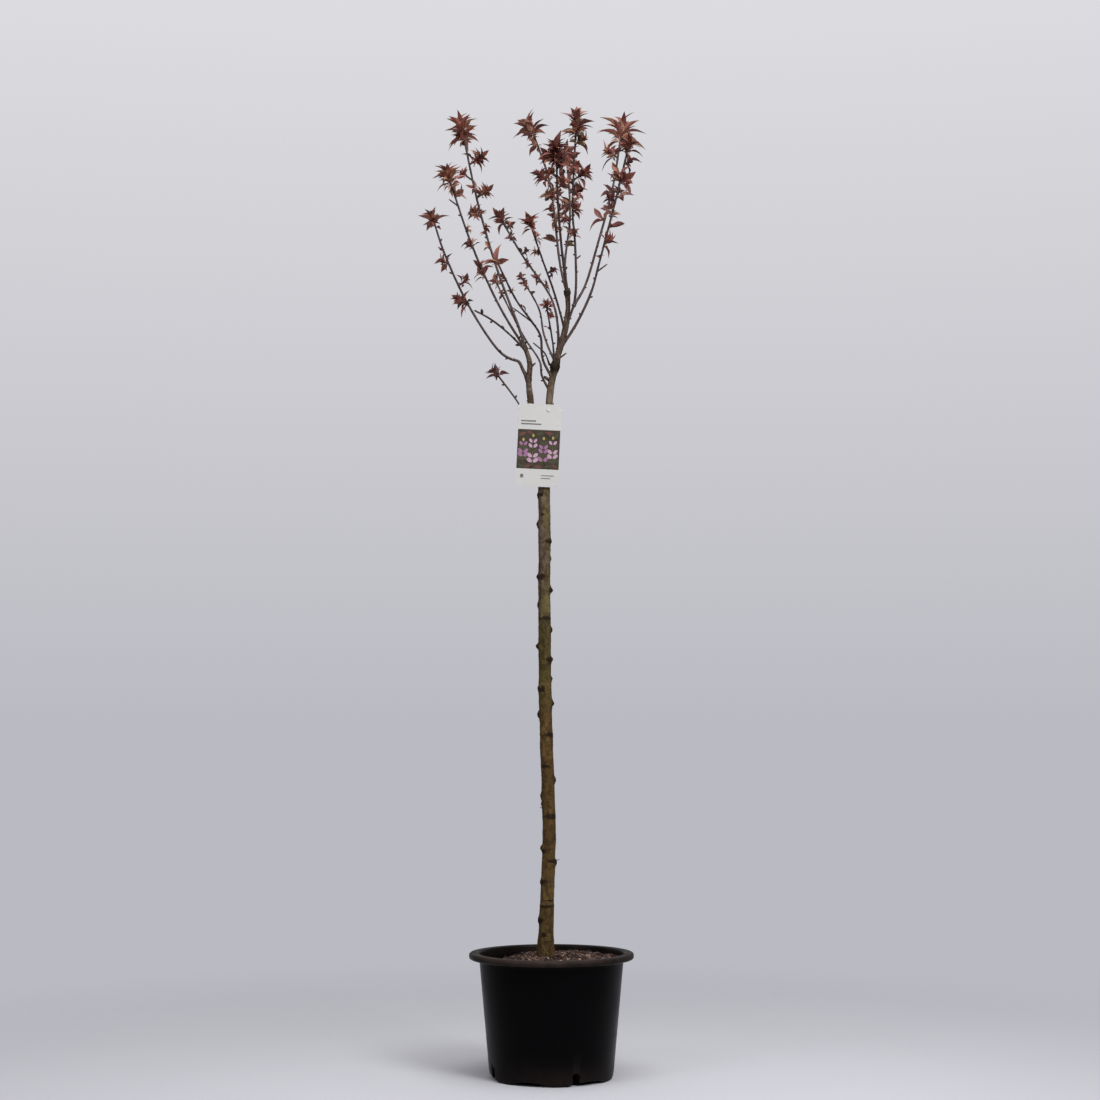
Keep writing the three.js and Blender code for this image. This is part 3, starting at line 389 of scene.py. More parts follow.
# Leaves, as shares of a leaf's length or degrees of lean.
GOLDEN_DEG = 137.5
LEAF_PITCH = 1.9
SPUR_LEAFY_SHARE = 0.8
SHORTEST_SPUR = 8
LEAF_TILT_INNER_DEG = 18
LEAF_TILT_OUTER_DEG = 98
LEAF_TILT_JITTER_DEG = 10
LEAF_SHORTEST = 0.72
LEAF_HALF_WIDTH = 0.185
GROWN_SHARE = 1.1
LEAF_WIDEST_AT = 0.44
LEAF_FOLD = 0.4
LEAF_ARCH = 0.07
LEAF_TIP_CURL = 0.13
SPACE_MARGIN = 1.2
SPACE_STEP = 22

# Younger leaves. A tuft is dense above this many leaves of this length. Its younger leaves are held to
# the given range, and it has more of them, above all at a tip. Thin tufts of long leaves get fewest.
DENSE_COUNT = 5
DENSE_LENGTH = 24
DENSE_RANGE = (36, 46)
THIN_GROWTH = 1.05
THIN_SHARE = 1.3
LONG_LEAF = 34
EXTRA_AT_TIP = 7
EXTRA_IN_DENSE = 4
EXTRA_IN_THIN = 2

# Of the younger leaves one in so many belongs to the core. Both kinds: how far down the tuft they reach,
# their lean in degrees, and their size. A tuft that sits on the limb itself reaches further down.
CORE_EVERY = 3
BUD_TUFT_GROWTH = 1.15
BUD_TUFT_EXTRA = 3
CORE_DROP = (0.35, 1.0)
YOUNG_DROP = 0.85
CORE_LEAN_DEG = (45, 120)
CORE_SIZE = (0.3, 0.55)
YOUNG_LEAN_DEG = (5, 72)
YOUNG_SIZE = (0.5, 0.95)

# Tints from the darkest grown leaves to the palest that unfold, with the chances of the main tint of a
# spray's grown leaves, of its younger leaves (from the second tint on), and of one tint down, none or up.
LEAF_TINTS = ("plum", "wine", "bronze", "copper", "rose", "olive")
GROWN_CHANCES = [0.48, 0.37, 0.15]
YOUNG_CHANCES = [0.24, 0.35, 0.22, 0.07, 0.12]
SHIFT_CHANCES = [0.3, 0.46, 0.24]
DARK_SPRAYS_BELOW = 1600

# Where a leaf's rings lie along it, and how wide and thick it is there, as shares of the widest.
LEAF_STATIONS = np.array([0.0, 0.11, 0.2, 0.34, 0.5, 0.68, 0.85])
LEAF_WIDTHS = np.array([0.06, 0.07, 0.5, 0.9, 1.0, 0.78, 0.36])
LEAF_DEPTHS = np.array([0.6, 0.55, 0.42, 0.34, 0.3, 0.25, 0.2])
BROAD_LEAF = 38
BROADEST = 1.35
SLENDERNESS = 0.8
# Each leaf's own fold and width by range, and its twist (all along and towards the tip) and bend by spread.
BLADE_FOLD = (0.3, 0.75)
BLADE_WIDTH = (0.85, 1.15)
BLADE_LIFT = (0.7, 1.8)
BLADE_TWIST = (0.5, 0.35)
BLADE_BEND = 0.05

# Hanging card: its face, its hole and the layers of ink printed on it.
CARD_WIDTH = 93
CARD_HEIGHT = 181
CARD_THICKNESS = 0.9
CARD_CORNER_TOP = 4
CARD_CORNER_BOTTOM = 13
CARD_CENTRE = (-28, 1350)
CARD_LEAN_DEG = 2.7
CARD_FACE_Y = -18.6
CARD_HOLE_RADIUS = 2.6
TIE_HEIGHT = 1428
BOW_START = -55
BOW_END = 90
INK_STEP = 0.05
INK_DEPTH = 0.1
INK_ROUGHNESS = 0.3

# Inks, named by their place in this list.
INKS = [
    ("ink_grey", (118, 112, 116)), ("ink_mauve", (160, 116, 150)), ("ink_pink", (196, 160, 182)),
    ("ink_stem", (104, 94, 66)), ("ink_green", (76, 76, 58)), ("ink_yellow", (176, 162, 98)),
    ("ink_russet", (110, 70, 62)),
]
GROUND, GREY, MAUVE, PINK, STALK, GREEN, YELLOW, RUSSET = range(8)
# The printed band: left, right, low and high edge.
BAND = (0.6 - CARD_WIDTH / 2, CARD_WIDTH / 2 - 0.6, -52, 34)
# Upright sprigs of the band: across and up on the card, height, and which pink they carry.
SPRIGS = [(-33, -20, 50, MAUVE), (-12, -26, 66, PINK), (11, -22, 56, MAUVE), (31, -26, 62, PINK)]
# Leaves that lie loose on the ground of the band: across, up, length, turn and ink.
LOOSE_LEAVES = [
    (-36, 24, 19, 18, RUSSET), (-20, 28, 14, -24, RUSSET), (1, 25, 17, 12, GREEN),
    (22, 27, 18, -14, RUSSET), (38, 22, 13, 60, GREEN), (-37, -45, 16, -12, GREEN),
    (-22, -46, 15, 22, RUSSET), (1, -47, 18, -8, RUSSET), (22, -46, 16, 16, GREEN),
    (37, -45, 14, -30, RUSSET),
]
# Plain bars: left, right, low and high edge.
BARS = [(-40, -8, 51, 54), (-40, 4, 44.5, 47.5), (8, 36, -67, -65), (8, 29, -73, -71), (-37, -30, -72, -64)]

# Lights, in metres: name, place, aim and size. The camera: place in metres and upward tilt.
LIGHTS = [
    ("key", (1.7, -2.6, 2.7), (0.0, 0.0, 0.8), (1.2, 1.6)),
    ("fill", (-2.2, -2.2, 2.2), (0.0, 0.0, 0.9), (1.2, 2.2)),
    ("top", (0.3, -0.9, 3.6), (0.0, 0.0, 0.6), (2.6, 2.6)),
]
CAMERA_PLACE = (-0.0031, -4.47, 0.738)
CAMERA_TILT_DEG = 94.93
FLOOR_RADIUS = 4.0
FLOOR_FADE = (2.3, 0.5)
FLOOR_BELOW = 0.000005

# Linear congruential generator of the growth rule.
RANDOM_FACTOR = 1664525
RANDOM_STEP = 1013904223
RANDOM_RANGE = 4294967296
RANDOM_SPREAD = 7919

SIDEWAYS = np.array([1.0, 0.0, 0.0])
AWAY = np.array([0.0, 1.0, 0.0])
UPWARDS = np.array([0.0, 0.0, 1.0])


# Numbers and directions


def lerp(low, high, share):
    """low + (high - low) * share."""
    return low + (high - low) * share


def bell(distance, reach):
    """e to the power of minus the square of distance over reach."""
    return np.exp(-((distance / reach) ** 2))


def smoothstep(value, low, high):
    """3t^2 - 2t^3 of the value's share between low and high, held between 0 and 1."""
    share = np.clip((value - low) / (high - low), 0, 1)
    return share * share * (3 - 2 * share)


def unit(vectors):
    """Each vector divided by its own length."""
    return vectors / np.linalg.norm(vectors, axis=-1, keepdims=True)


def around(count):
    """Evenly spaced angles of one full turn."""
    return 2 * np.pi * np.arange(count) / count


def circle(angles):
    """Cosine and sine of each angle."""
    return np.stack([np.cos(angles), np.sin(angles)], axis=-1)


def flat_turned(points, degrees):
    """Flat points turned counter-clockwise: x cos - y sin, x sin + y cos."""
    cos, sin = circle(math.radians(degrees))
    x, y = points[..., 0], points[..., 1]
    return np.stack([x * cos - y * sin, x * sin + y * cos], axis=-1)


def heading_vector(degrees):
    """Cosine and sine of the heading, level."""
    return np.append(circle(math.radians(degrees)), 0.0)


def seeded_random(seed):
    """Yields state / 2^32, where each state is the last one times the factor plus the step, modulo 2^32."""
    state = (seed * RANDOM_SPREAD) % RANDOM_RANGE
    while True:
        state = (state * RANDOM_FACTOR + RANDOM_STEP) % RANDOM_RANGE
        yield state / RANDOM_RANGE


def lattice_value(cells, seed):
    """A fixed number from -1 to 1 for each lattice cell: the fraction of a large multiple of a sine."""
    mixed = np.sin(cells @ np.array([12.9898, 78.233, 37.719]) + 4.1414 * seed) * 43758.5453
    return 2 * (mixed - np.floor(mixed)) - 1


def smooth_noise(points, pitch, seed):
    """The lattice numbers at a cell's eight corners, blended by 3t^2 - 2t^3 along each axis."""
    place = points / np.array(pitch, dtype=float)
    low = np.floor(place)
    blend = smoothstep(place - low, 0, 1)
    total = np.zeros(points.shape[:-1])
    for corner in np.ndindex(2, 2, 2):
        offset = np.array(corner, dtype=float)
        weight = np.prod(np.where(offset > 0, blend, 1 - blend), axis=-1)
        total += weight * lattice_value(low + offset, seed)
    return total


class Curve:
    """A centripetal Catmull-Rom curve: each span is the cubic through its two points whose slopes come
    from the neighbours, with knots spaced by the square root of the distance between points."""

    def __init__(self, points):
        points = np.array(points, dtype=float)
        self.spans = len(points) - 1
        padded = np.vstack([2 * points[0] - points[1], points, 2 * points[-1] - points[-2]])
        steps = np.sqrt(np.linalg.norm(np.diff(padded, axis=0), axis=1))[:, None]
        before, across, after = steps[:-2], steps[1:-1], steps[2:]
        p0, p1, p2, p3 = padded[:-3], padded[1:-2], padded[2:-1], padded[3:]
        slope_in = ((p1 - p0) / before - (p2 - p0) / (before + across) + (p2 - p1) / across) * across
        slope_out = ((p2 - p1) / across - (p3 - p1) / (across + after) + (p3 - p2) / after) * across
        square = -3 * p1 + 3 * p2 - 2 * slope_in - slope_out
        cube = 2 * p1 - 2 * p2 + slope_in + slope_out
        self.cubics = np.stack([p1, slope_in, square, cube], axis=1)
        self.length = float(np.linalg.norm(np.diff(self.at(np.linspace(0, 1, 201)), axis=0), axis=1).sum())

    def at(self, shares):
        """The cubic of the span that holds each share of the curve."""
        place = np.atleast_1d(np.asarray(shares, dtype=float)) * self.spans
        span = np.minimum(np.floor(place).astype(int), self.spans - 1)
        rest = (place - span)[:, None]
        cubic = self.cubics[span]
        return cubic[:, 0] + rest * (cubic[:, 1] + rest * (cubic[:, 2] + rest * cubic[:, 3]))

    def directions(self, shares):
        """Unit chords from just before to just after each share."""
        shares = np.atleast_1d(np.asarray(shares, dtype=float))
        return unit(self.at(np.minimum(shares + 1e-4, 1)) - self.at(np.maximum(shares - 1e-4, 0)))

    def share_at(self, height):
        """The share at which the curve, which always climbs, reaches a height, by halving."""
        low, high = 0.0, 1.0
        for _ in range(HALVINGS):
            middle = (low + high) / 2
            if self.at(middle)[0, 2] < height:
                low = middle
            else:
                high = middle
        return (low + high) / 2

    def point_at(self, height):
        """The point at a height."""
        return self.at(self.share_at(height))[0]


TRUNK = Curve(TRUNK_PATH)


# Surfaces


class Surface:
    """Vertices in millimetres with one mark each, and faces of four or three corners with a material
    number each."""

    def __init__(self, vertices, quads, triangles=(), mark=0.0, material=0):
        self.vertices = vertices.reshape(-1, 3)
        self.quads = np.asarray(quads, dtype=np.int32).reshape(-1, 4)
        self.triangles = np.asarray(triangles, dtype=np.int32).reshape(-1, 3)
        self.mark = np.broadcast_to(mark, len(self.vertices))
        self.quad_material = np.broadcast_to(material, len(self.quads))
        self.triangle_material = np.broadcast_to(material, len(self.triangles))


def joined(surfaces):
    """The surfaces end to end, each one's face numbers moved on by the vertices before it."""
    surfaces = list(surfaces)
    starts = np.cumsum([0] + [len(each.vertices) for each in surfaces[:-1]])

    def gathered(name, moved=0):
        return np.concatenate([getattr(each, name) + moved * start for each, start in zip(surfaces, starts)])

    whole = Surface(gathered("vertices"), gathered("quads", 1), gathered("triangles", 1), gathered("mark"))
    whole.quad_material = gathered("quad_material")
    whole.triangle_material = gathered("triangle_material")
    return whole


def ring_quads(rows, sides, wrap=False):
    """Quads between neighbouring rings: this corner, the next one round, and the two above them."""
    row, side = np.meshgrid(np.arange(rows if wrap else rows - 1), np.arange(sides), indexing="ij")
    after = (row + 1) % rows
    turn = (side + 1) % sides
    corners = [row * sides + side, row * sides + turn, after * sides + turn, after * sides + side]
    return np.stack(corners, axis=-1).reshape(-1, 4)


def tube(rings, start, end, mark=0.0, material=0):
    """Rings of equal size joined by quads, and closed at each end by a fan round a point."""
    rows, sides = rings.shape[:2]
    count = rows * sides
    side = np.arange(sides)
    turn = (side + 1) % sides
    last = count - sides
    first_fan = np.stack([np.full(sides, count), turn, side], axis=-1)
    last_fan = np.stack([np.full(sides, count + 1), last + side, last + turn], axis=-1)
    marks = np.broadcast_to(mark, (rows, sides)).ravel()
    vertices = np.vstack([rings.reshape(-1, 3), start, end])
    fans = np.vstack([first_fan, last_fan])
    return Surface(vertices, ring_quads(rows, sides), fans, np.append(marks, marks[[0, -1]]), material)


def frames_along(directions):
    """Two unit vectors at right angles to each direction: across it, and direction x across."""
    reference = np.where(np.abs(directions[:, 1:2]) > NEARLY_PARALLEL, UPWARDS, AWAY)
    across = unit(np.cross(reference, directions))
    return across, np.cross(directions, across)


def limb_surface(centres, directions, radii, sides, relief):
    """Rings centre + radius * (across * cosine + up * sine), each point then pushed out by the relief.
    The relief is read at (radius * cosine, radius * sine, distance run) and at the point itself."""
    across, up = frames_along(directions)
    cos, sin = circle(around(sides)).T
    outwards = cos[None, :, None] * across[:, None] + sin[None, :, None] * up[:, None]
    radii = np.broadcast_to(np.reshape(radii, (-1, 1)), (len(centres), sides))
    points = centres[:, None] + radii[..., None] * outwards
    run = np.concatenate([[0], np.cumsum(np.linalg.norm(np.diff(centres, axis=0), axis=1))])
    local = np.stack([radii * cos, radii * sin, np.broadcast_to(run[:, None], radii.shape)], axis=-1)
    swell, mark = relief(local, points)
    rings = points + swell[..., None] * outwards
    return tube(rings, rings[0].mean(axis=0), rings[-1].mean(axis=0), mark)


def bark_along(limb, ring_step, bark, sides, relief):
    """A limb's own tube, with rings a step apart and its radius grown by the bark from root to tip."""
    shares = np.linspace(0, 1, int(limb.curve.length / ring_step))
    radii = limb_radius(limb, shares) + lerp(*bark, shares)
    return limb_surface(limb.curve.at(shares), limb.curve.directions(shares), radii, sides, relief)


def peg_surface(start, end, radii, sides, mark=0.0):
    """A straight round twig: rings of the given radii, evenly spaced from start to end."""
    directions = np.tile(unit(end - start), (len(radii), 1))
    centres = lerp(start, end, np.linspace(0, 1, len(radii))[:, None])
    plain = lambda local, points: (np.zeros(points.shape[:2]), np.full(points.shape[:2], mark))
    return limb_surface(centres, directions, radii, sides, plain)


def in_scene(name, data):
    """An object of that data, linked into the scene."""
    thing = bpy.data.objects.new(name, data)
    bpy.context.scene.collection.objects.link(thing)
    return thing


def new_piece(name, surface, materials, nodes, crease_deg=None):
    """Puts a surface into a mesh in metres, and hangs the piece on the frame in place of its nodes."""
    sizes = np.repeat([4, 3], [len(surface.quads), len(surface.triangles)])
    mesh = bpy.data.meshes.new(name)
    mesh.vertices.add(len(surface.vertices))
    mesh.vertices.foreach_set("co", (surface.vertices * MM).ravel().astype(np.float32))
    mesh.loops.add(int(sizes.sum()))
    mesh.loops.foreach_set("vertex_index", np.concatenate([surface.quads.ravel(), surface.triangles.ravel()]))
    mesh.polygons.add(len(sizes))
    mesh.polygons.foreach_set("loop_start", np.concatenate([[0], np.cumsum(sizes)[:-1]]).astype(np.int32))
    material = np.concatenate([surface.quad_material, surface.triangle_material]).astype(np.int32)
    mesh.polygons.foreach_set("material_index", material)
    mesh.attributes.new("mark", "FLOAT", "POINT").data.foreach_set("value", surface.mark.astype(np.float32))
    mesh.update(calc_edges=True)
    for each in materials:
        mesh.materials.append(each)
    mesh.shade_smooth()
    if crease_deg is not None:
        mesh.set_sharp_from_angle(angle=math.radians(crease_deg))
    piece = in_scene(name, mesh)
    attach(piece, BODY)
    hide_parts(*nodes)


# Growth


def trunk_radius(height):
    """Even taper, plus a root flare that dies away upwards, plus a bell where the stems part."""
    share = np.minimum(1, (height - TRUNK_FOOT) / (FORK_HEIGHT - TRUNK_FOOT))
    flare = ROOT_FLARE * np.exp(-np.maximum(0, height - TRUNK_FOOT) / ROOT_FLARE_REACH)
    swelling = FORK_SWELLING * bell(height - FORK_HEIGHT, FORK_REACH)
    return lerp(TRUNK_LOW_RADIUS, TRUNK_HIGH_RADIUS, share) + flare + swelling


def limb_radius(limb, shares):
    """Taper from root to tip, even in a stem and early in a bough, times a collar at the root, plus a bell
    for each bulge."""
    points = limb.curve.at(shares)
    taper = lerp(*limb.radii, np.asarray(shares) ** limb.taper)
    distance = np.linalg.norm(points - limb.curve.at(0), axis=1)
    swelling = sum(size * bell(points[:, 2] - height, reach) for height, size, reach in limb.bulges)
    return taper * (1 + COLLAR_SWELLING * bell(distance, COLLAR_REACH)) + swelling


def new_limb(path, radii, **details):
    """A limb's curve and radii, with its details. What isn't told is plain."""
    plain = {"bulges": [], "stubs": [], "spurs": [], "tuft": (0, 0), "seed": 0, "taper": 1, "stem": False}
    return SimpleNamespace(curve=Curve(path), radii=radii, **{**plain, **details})


def limbs_of_tree():
    """Both stems and every bough by name, each as a curve that starts on its parent, with samples."""
    limbs = {}
    for name, (path, radii, bulges, stubs) in STEMS.items():
        limbs[name] = new_limb(path, radii, bulges=bulges, stubs=stubs, stem=True)
    for name, (parent, root, seed, path, radii, tuft, spurs) in BOUGHS.items():
        path = [limbs[parent].curve.point_at(root), *path]
        limbs[name] = new_limb(path, radii, seed=seed, tuft=tuft, spurs=spurs, taper=BOUGH_TAPER)
    for limb in limbs.values():
        count = math.ceil(limb.curve.length / SPACE_STEP)
        limb.samples = limb.curve.at(np.linspace(0, 1, count + 1))
    return limbs


def distance_to_paths(points, paths):
    """The least distance from each point to any straight piece of the paths."""
    starts = np.concatenate([path[:-1] for path in paths])
    runs = np.concatenate([path[1:] - path[:-1] for path in paths])
    offset = points[:, None] - starts
    share = np.clip((offset * runs).sum(axis=-1) / (runs * runs).sum(axis=-1), 0, 1)
    return np.linalg.norm(offset - share[..., None] * runs, axis=-1).min(axis=1)


def keeps_to_space(points, own, others):
    """True where every point is nearer its own limb than any other, by the margin."""
    home = distance_to_paths(points, [own])
    return bool((distance_to_paths(points, others) > home + SPACE_MARGIN).all())


def spur_of(limb, row):
    """A spur rises outwards from its limb. Short ones are buds, whose leaves sit on the limb itself."""
    height, heading, length, count, leaf_length = row
    share = limb.curve.share_at(height)
    start = limb.curve.at(share)[0]
    axis = unit(heading_vector(heading) + TWIG_RISE * UPWARDS)
    end = start + axis * length
    bud = length < SHORTEST_SPUR
    pitch = LEAF_PITCH if bud else min(LEAF_PITCH, length * SPUR_LEAFY_SHARE / (count + 1))
    shoot = limb.curve.directions(share)[0] if bud else axis
    return SimpleNamespace(
        start=start, end=end, axis=axis, shoot=shoot, pitch=pitch, count=count,
        leaf_length=leaf_length, top=start if bud else end, twig=not bud, tip=False,
    )


def tip_of(limb):
    """The end of a limb, whose leaves point on along it."""
    axis = limb.curve.directions(1)[0]
    end = limb.curve.at(1)[0]
    return SimpleNamespace(
        end=end, axis=axis, shoot=axis, pitch=LEAF_PITCH, count=limb.tuft[0],
        leaf_length=limb.tuft[1], top=end, twig=False, tip=True,
    )


def leaf_row(spur, drop, spin, lean, size, young=False):
    """One leaf: its base lies a drop down the shoot, its line leans from the axis at a spin round it, and
    its face is the part of the axis at right angles to that line."""
    reference = SIDEWAYS if abs(spur.axis[2]) > NEARLY_PARALLEL else UPWARDS
    first = unit(np.cross(spur.axis, reference))
    second = np.cross(spur.axis, first)
    round_axis = math.cos(spin) * first + math.sin(spin) * second
    along = math.cos(lean) * spur.axis + math.sin(lean) * round_axis
    face = unit(spur.axis - along * spur.axis.dot(along))
    base = spur.top - spur.shoot * drop
    return SimpleNamespace(base=base, along=along, face=face, size=size, young=young)


def tuft_leaves(random, spur):
    """From the tip down, each leaf sits lower, turns on by the golden angle and leans further out. A blade
    is a tenth longer than the frame's, as its last part is hair-thin."""
    start = 360 * next(random)
    leaves = []
    for index in range(spur.count):
        share = (index + 0.5) / spur.count
        spin = math.radians(start + index * GOLDEN_DEG)
        jitter = (2 * next(random) - 1) * LEAF_TILT_JITTER_DEG
        lean = math.radians(lerp(LEAF_TILT_INNER_DEG, LEAF_TILT_OUTER_DEG, share) + jitter)
        size = spur.leaf_length * lerp(LEAF_SHORTEST, 1, next(random))
        leaves.append(leaf_row(spur, (index + 1) * spur.pitch, spin, lean, GROWN_SHARE * size))
    return leaves


def inner_leaves(generator, spur, share):
    """The younger leaves of the same tuft. Those of the core are short and lean far out from the lower
    shoot, and the rest point up between the grown ones."""
    if spur.count == 0:
        return []
    reach = spur.count * spur.pitch
    if not spur.twig:
        reach = BUD_TUFT_GROWTH * reach + BUD_TUFT_EXTRA
    if spur.count > DENSE_COUNT and spur.leaf_length > DENSE_LENGTH:
        length = float(np.clip(spur.leaf_length, *DENSE_RANGE))
        extra = EXTRA_AT_TIP if spur.tip else EXTRA_IN_DENSE
    else:
        length = THIN_GROWTH * spur.leaf_length
        share, extra = (1, 0) if spur.leaf_length > LONG_LEAF else (THIN_SHARE * share, EXTRA_IN_THIN)
    leaves = []
    for number in range(round(share * spur.count) + extra):
        core = number % CORE_EVERY == 0
        drop = reach * generator.uniform(*CORE_DROP) if core else generator.uniform(-1, YOUNG_DROP * reach)
        spin = generator.uniform(0, 2 * np.pi)
        lean = math.radians(generator.uniform(*(CORE_LEAN_DEG if core else YOUNG_LEAN_DEG)))
        size = length * generator.uniform(*(CORE_SIZE if core else YOUNG_SIZE))
        leaves.append(leaf_row(spur, drop, spin, lean, size, young=True))
    return leaves


def leaf_corners(leaf):
    """Tip and both edges of a leaf, which must lie in its own limb's space."""
    across = np.cross(leaf.along, leaf.face)
    half = LEAF_HALF_WIDTH * leaf.size
    middle = leaf.base + (LEAF_WIDEST_AT * leaf.along + LEAF_ARCH * leaf.face) * leaf.size
    middle = middle + LEAF_FOLD * half * leaf.face
    tip = leaf.base + (leaf.along - LEAF_TIP_CURL * leaf.face) * leaf.size
    return np.array([tip, middle - half * across, middle + half * across])


def sprays_of(limb, limbs, inner_share):
    """The tufts of a limb's leafy stem with their leaves, by the frame's own rule, with younger leaves
    added. What leaves its limb's space is skipped."""
    random = seeded_random(limb.seed)
    others = [other.samples for other in limbs if other is not limb]
    sprays = []
    for number, spur in enumerate([*(spur_of(limb, row) for row in limb.spurs), tip_of(limb)]):
        grown = tuft_leaves(random, spur)
        if not keeps_to_space(spur.end[None], limb.samples, others):
            continue
        generator = np.random.default_rng([limb.seed, number])
        grown.extend(inner_leaves(generator, spur, inner_share))
        kept = [leaf for leaf in grown if keeps_to_space(leaf_corners(leaf), limb.samples, others)]
        sprays.append(SimpleNamespace(spur=spur, leaves=kept))
    return sprays


_TREE = {}


def tree():
    """The limbs by name and all their sprays, grown once."""
    share = bpy.context.scene.cherry.leaves.inner_share
    if _TREE.get("share") != share:
        limbs = limbs_of_tree()
        grown = [sprays_of(limb, limbs.values(), share) for limb in limbs.values() if limb.tuft[0]]
        _TREE.update(share=share, limbs=limbs, sprays=[spray for group in grown for spray in group])
    return _TREE["limbs"], _TREE["sprays"]


# Finishes


def srgb(red, green, blue):
    """Display values from 0 to 255 as the linear numbers that shaders take."""
    shares = np.array([red, green, blue]) / 255
    linear = np.where(shares <= 0.04045, shares / 12.92, ((shares + 0.055) / 1.055) ** 2.4)
    return tuple(float(value) for value in linear)


class Finish:
    """A material under construction: its shader, and short calls for the nodes that feed it."""

    def __init__(self, name, colour, roughness, gloss=0.5):
        self.material = bpy.data.materials.new(name)
        self.material.use_nodes = True
        self.material.diffuse_color = (*colour, 1)
        self.nodes = self.material.node_tree.nodes
        self.shader = self.nodes["Principled BSDF"]
        self.shader.inputs["Base Color"].default_value = (*colour, 1)
        self.shader.inputs["Roughness"].default_value = roughness
        self.shader.inputs["Specular IOR Level"].default_value = gloss
        self.place = self.nodes.new("ShaderNodeTexCoord").outputs["Object"]

    def link(self, source, target):
        """Feeds a socket from another node's output."""
        self.material.node_tree.links.new(source, target)

    def texture(self, kind, pitch):
        """A texture node laid out over the object with that pitch in millimetres, or three pitches."""
        pitches = pitch if isinstance(pitch, tuple) else (pitch, pitch, pitch)
        mapping = self.nodes.new("ShaderNodeMapping")
        mapping.inputs["Scale"].default_value = [1 / (each * MM) for each in pitches]
        self.link(self.place, mapping.inputs["Vector"])
        node = self.nodes.new(kind)
        node.inputs["Scale"].default_value = 1
        self.link(mapping.outputs["Vector"], node.inputs["Vector"])
        return node

    def noise(self, pitch, detail=3, roughness=0.55):
        """Cloudy noise."""
        node = self.texture("ShaderNodeTexNoise", pitch)
        node.inputs["Detail"].default_value = detail
        node.inputs["Roughness"].default_value = roughness
        return node.outputs["Fac"]

    def cells(self, pitch):
        """Distance to the nearest of scattered points."""
        return self.texture("ShaderNodeTexVoronoi", pitch).outputs["Distance"]

    def mark(self):
        """The mark that each vertex carries."""
        node = self.nodes.new("ShaderNodeAttribute")
        node.attribute_name = "mark"
        return node.outputs["Fac"]

    def along(self, axis):
        """The object's own X, Y or Z in metres."""
        node = self.nodes.new("ShaderNodeSeparateXYZ")
        self.link(self.place, node.inputs[0])
        return node.outputs[axis]

    def part(self, value, low, high, to_low=0.0, to_high=1.0):
        """A value's share between low and high, held, and laid out between two results."""
        node = self.nodes.new("ShaderNodeMapRange")
        node.interpolation_type = "SMOOTHSTEP"
        for name, number in (("From Min", low), ("From Max", high), ("To Min", to_low), ("To Max", to_high)):
            node.inputs[name].default_value = number
        self.link(value, node.inputs["Value"])
        return node.outputs["Result"]

    def cloud(self, pitch, to_low=0.0, to_high=1.0, detail=3, roughness=0.55):
        """Cloudy noise laid out between two results."""
        return self.part(self.noise(pitch, detail, roughness), 0.3, 0.7, to_low, to_high)

    def sum(self, first, second, kind="ADD"):
        """The sum, or another kind of result, of two outputs or numbers."""
        node = self.nodes.new("ShaderNodeMath")
        node.operation = kind
        self.fill(node.inputs, (first, second))
        return node.outputs[0]

    def times(self, first, second):
        """The product of two outputs or numbers."""
        return self.sum(first, second, "MULTIPLY")

    def blend(self, share, first, second):
        """First colour where the share is 0, second where it is 1."""
        node = self.nodes.new("ShaderNodeMix")
        node.data_type = "RGBA"
        self.link(share, node.inputs[0])
        self.fill((node.inputs[6], node.inputs[7]), (first, second))
        return node.outputs[2]

    def fill(self, sockets, values):
        """Gives each socket its output, number or colour."""
        for socket, value in zip(sockets, values):
            if isinstance(value, bpy.types.NodeSocket):
                self.link(value, socket)
            elif isinstance(value, (int, float)):
                socket.default_value = value
            else:
                socket.default_value = (*value, 1)

    def flecks(self, base, share, strength, colour):
        """The base with that colour over it where the share is 1, at that strength."""
        return self.blend(self.times(share, strength), base, colour)

    def colour(self, source):
        """Feeds the base colour."""
        self.link(source, self.shader.inputs["Base Color"])

    def roughness(self, source):
        """Feeds the roughness."""
        self.link(source, self.shader.inputs["Roughness"])

    def bump(self, pitch, detail, depth, strength=1.0):
        """Noisy relief of that depth in millimetres, on top of any relief so far."""
        node = self.nodes.new("ShaderNodeBump")
        node.inputs["Strength"].default_value = strength
        node.inputs["Distance"].default_value = depth * MM
        self.link(self.noise(pitch, detail), node.inputs["Height"])
        before = self.shader.inputs["Normal"]
        if before.is_linked:
            self.link(before.links[0].from_socket, node.inputs["Normal"])
        self.link(node.outputs["Normal"], before)


def pot_finish(settings):
    """Near-black moulded plastic, dusted grey-brown where the mark says, with fine upright streaks a touch
    paler than the plastic.
    """
    finish = Finish("pot_plastic", settings.plastic, 0.32, gloss=0.05)
    dust = finish.times(finish.mark(), finish.cloud(46, 0.5, 1.2))
    # Fine upright streaks of stretched noise, blended faintly towards the dust colour.
    upright_streaks = finish.part(finish.noise((9, 9, 120), 5), 0.62, 0.72)
    dust_and_streaks = finish.sum(finish.times(upright_streaks, 0.008), dust, "MAXIMUM")
    finish.colour(finish.blend(dust_and_streaks, settings.plastic, settings.dust))
    finish.roughness(finish.sum(finish.cloud(46, 0.28, 0.36), finish.times(dust, 0.2)))
    finish.bump(1.2, 2, 0.05, 0.6)
    return finish.material


def compost_finish(name, colour, pale):
    """Damp bark: its colour mottled towards a paler one, with a crumbly relief."""
    finish = Finish(name, colour, 0.9)
    finish.colour(finish.blend(finish.part(finish.noise(5.5, 5), 0.35, 0.68), colour, pale))
    finish.roughness(finish.cloud(3, 0.72, 0.95))
    finish.bump(1.6, 4, 0.5)
    return finish.material


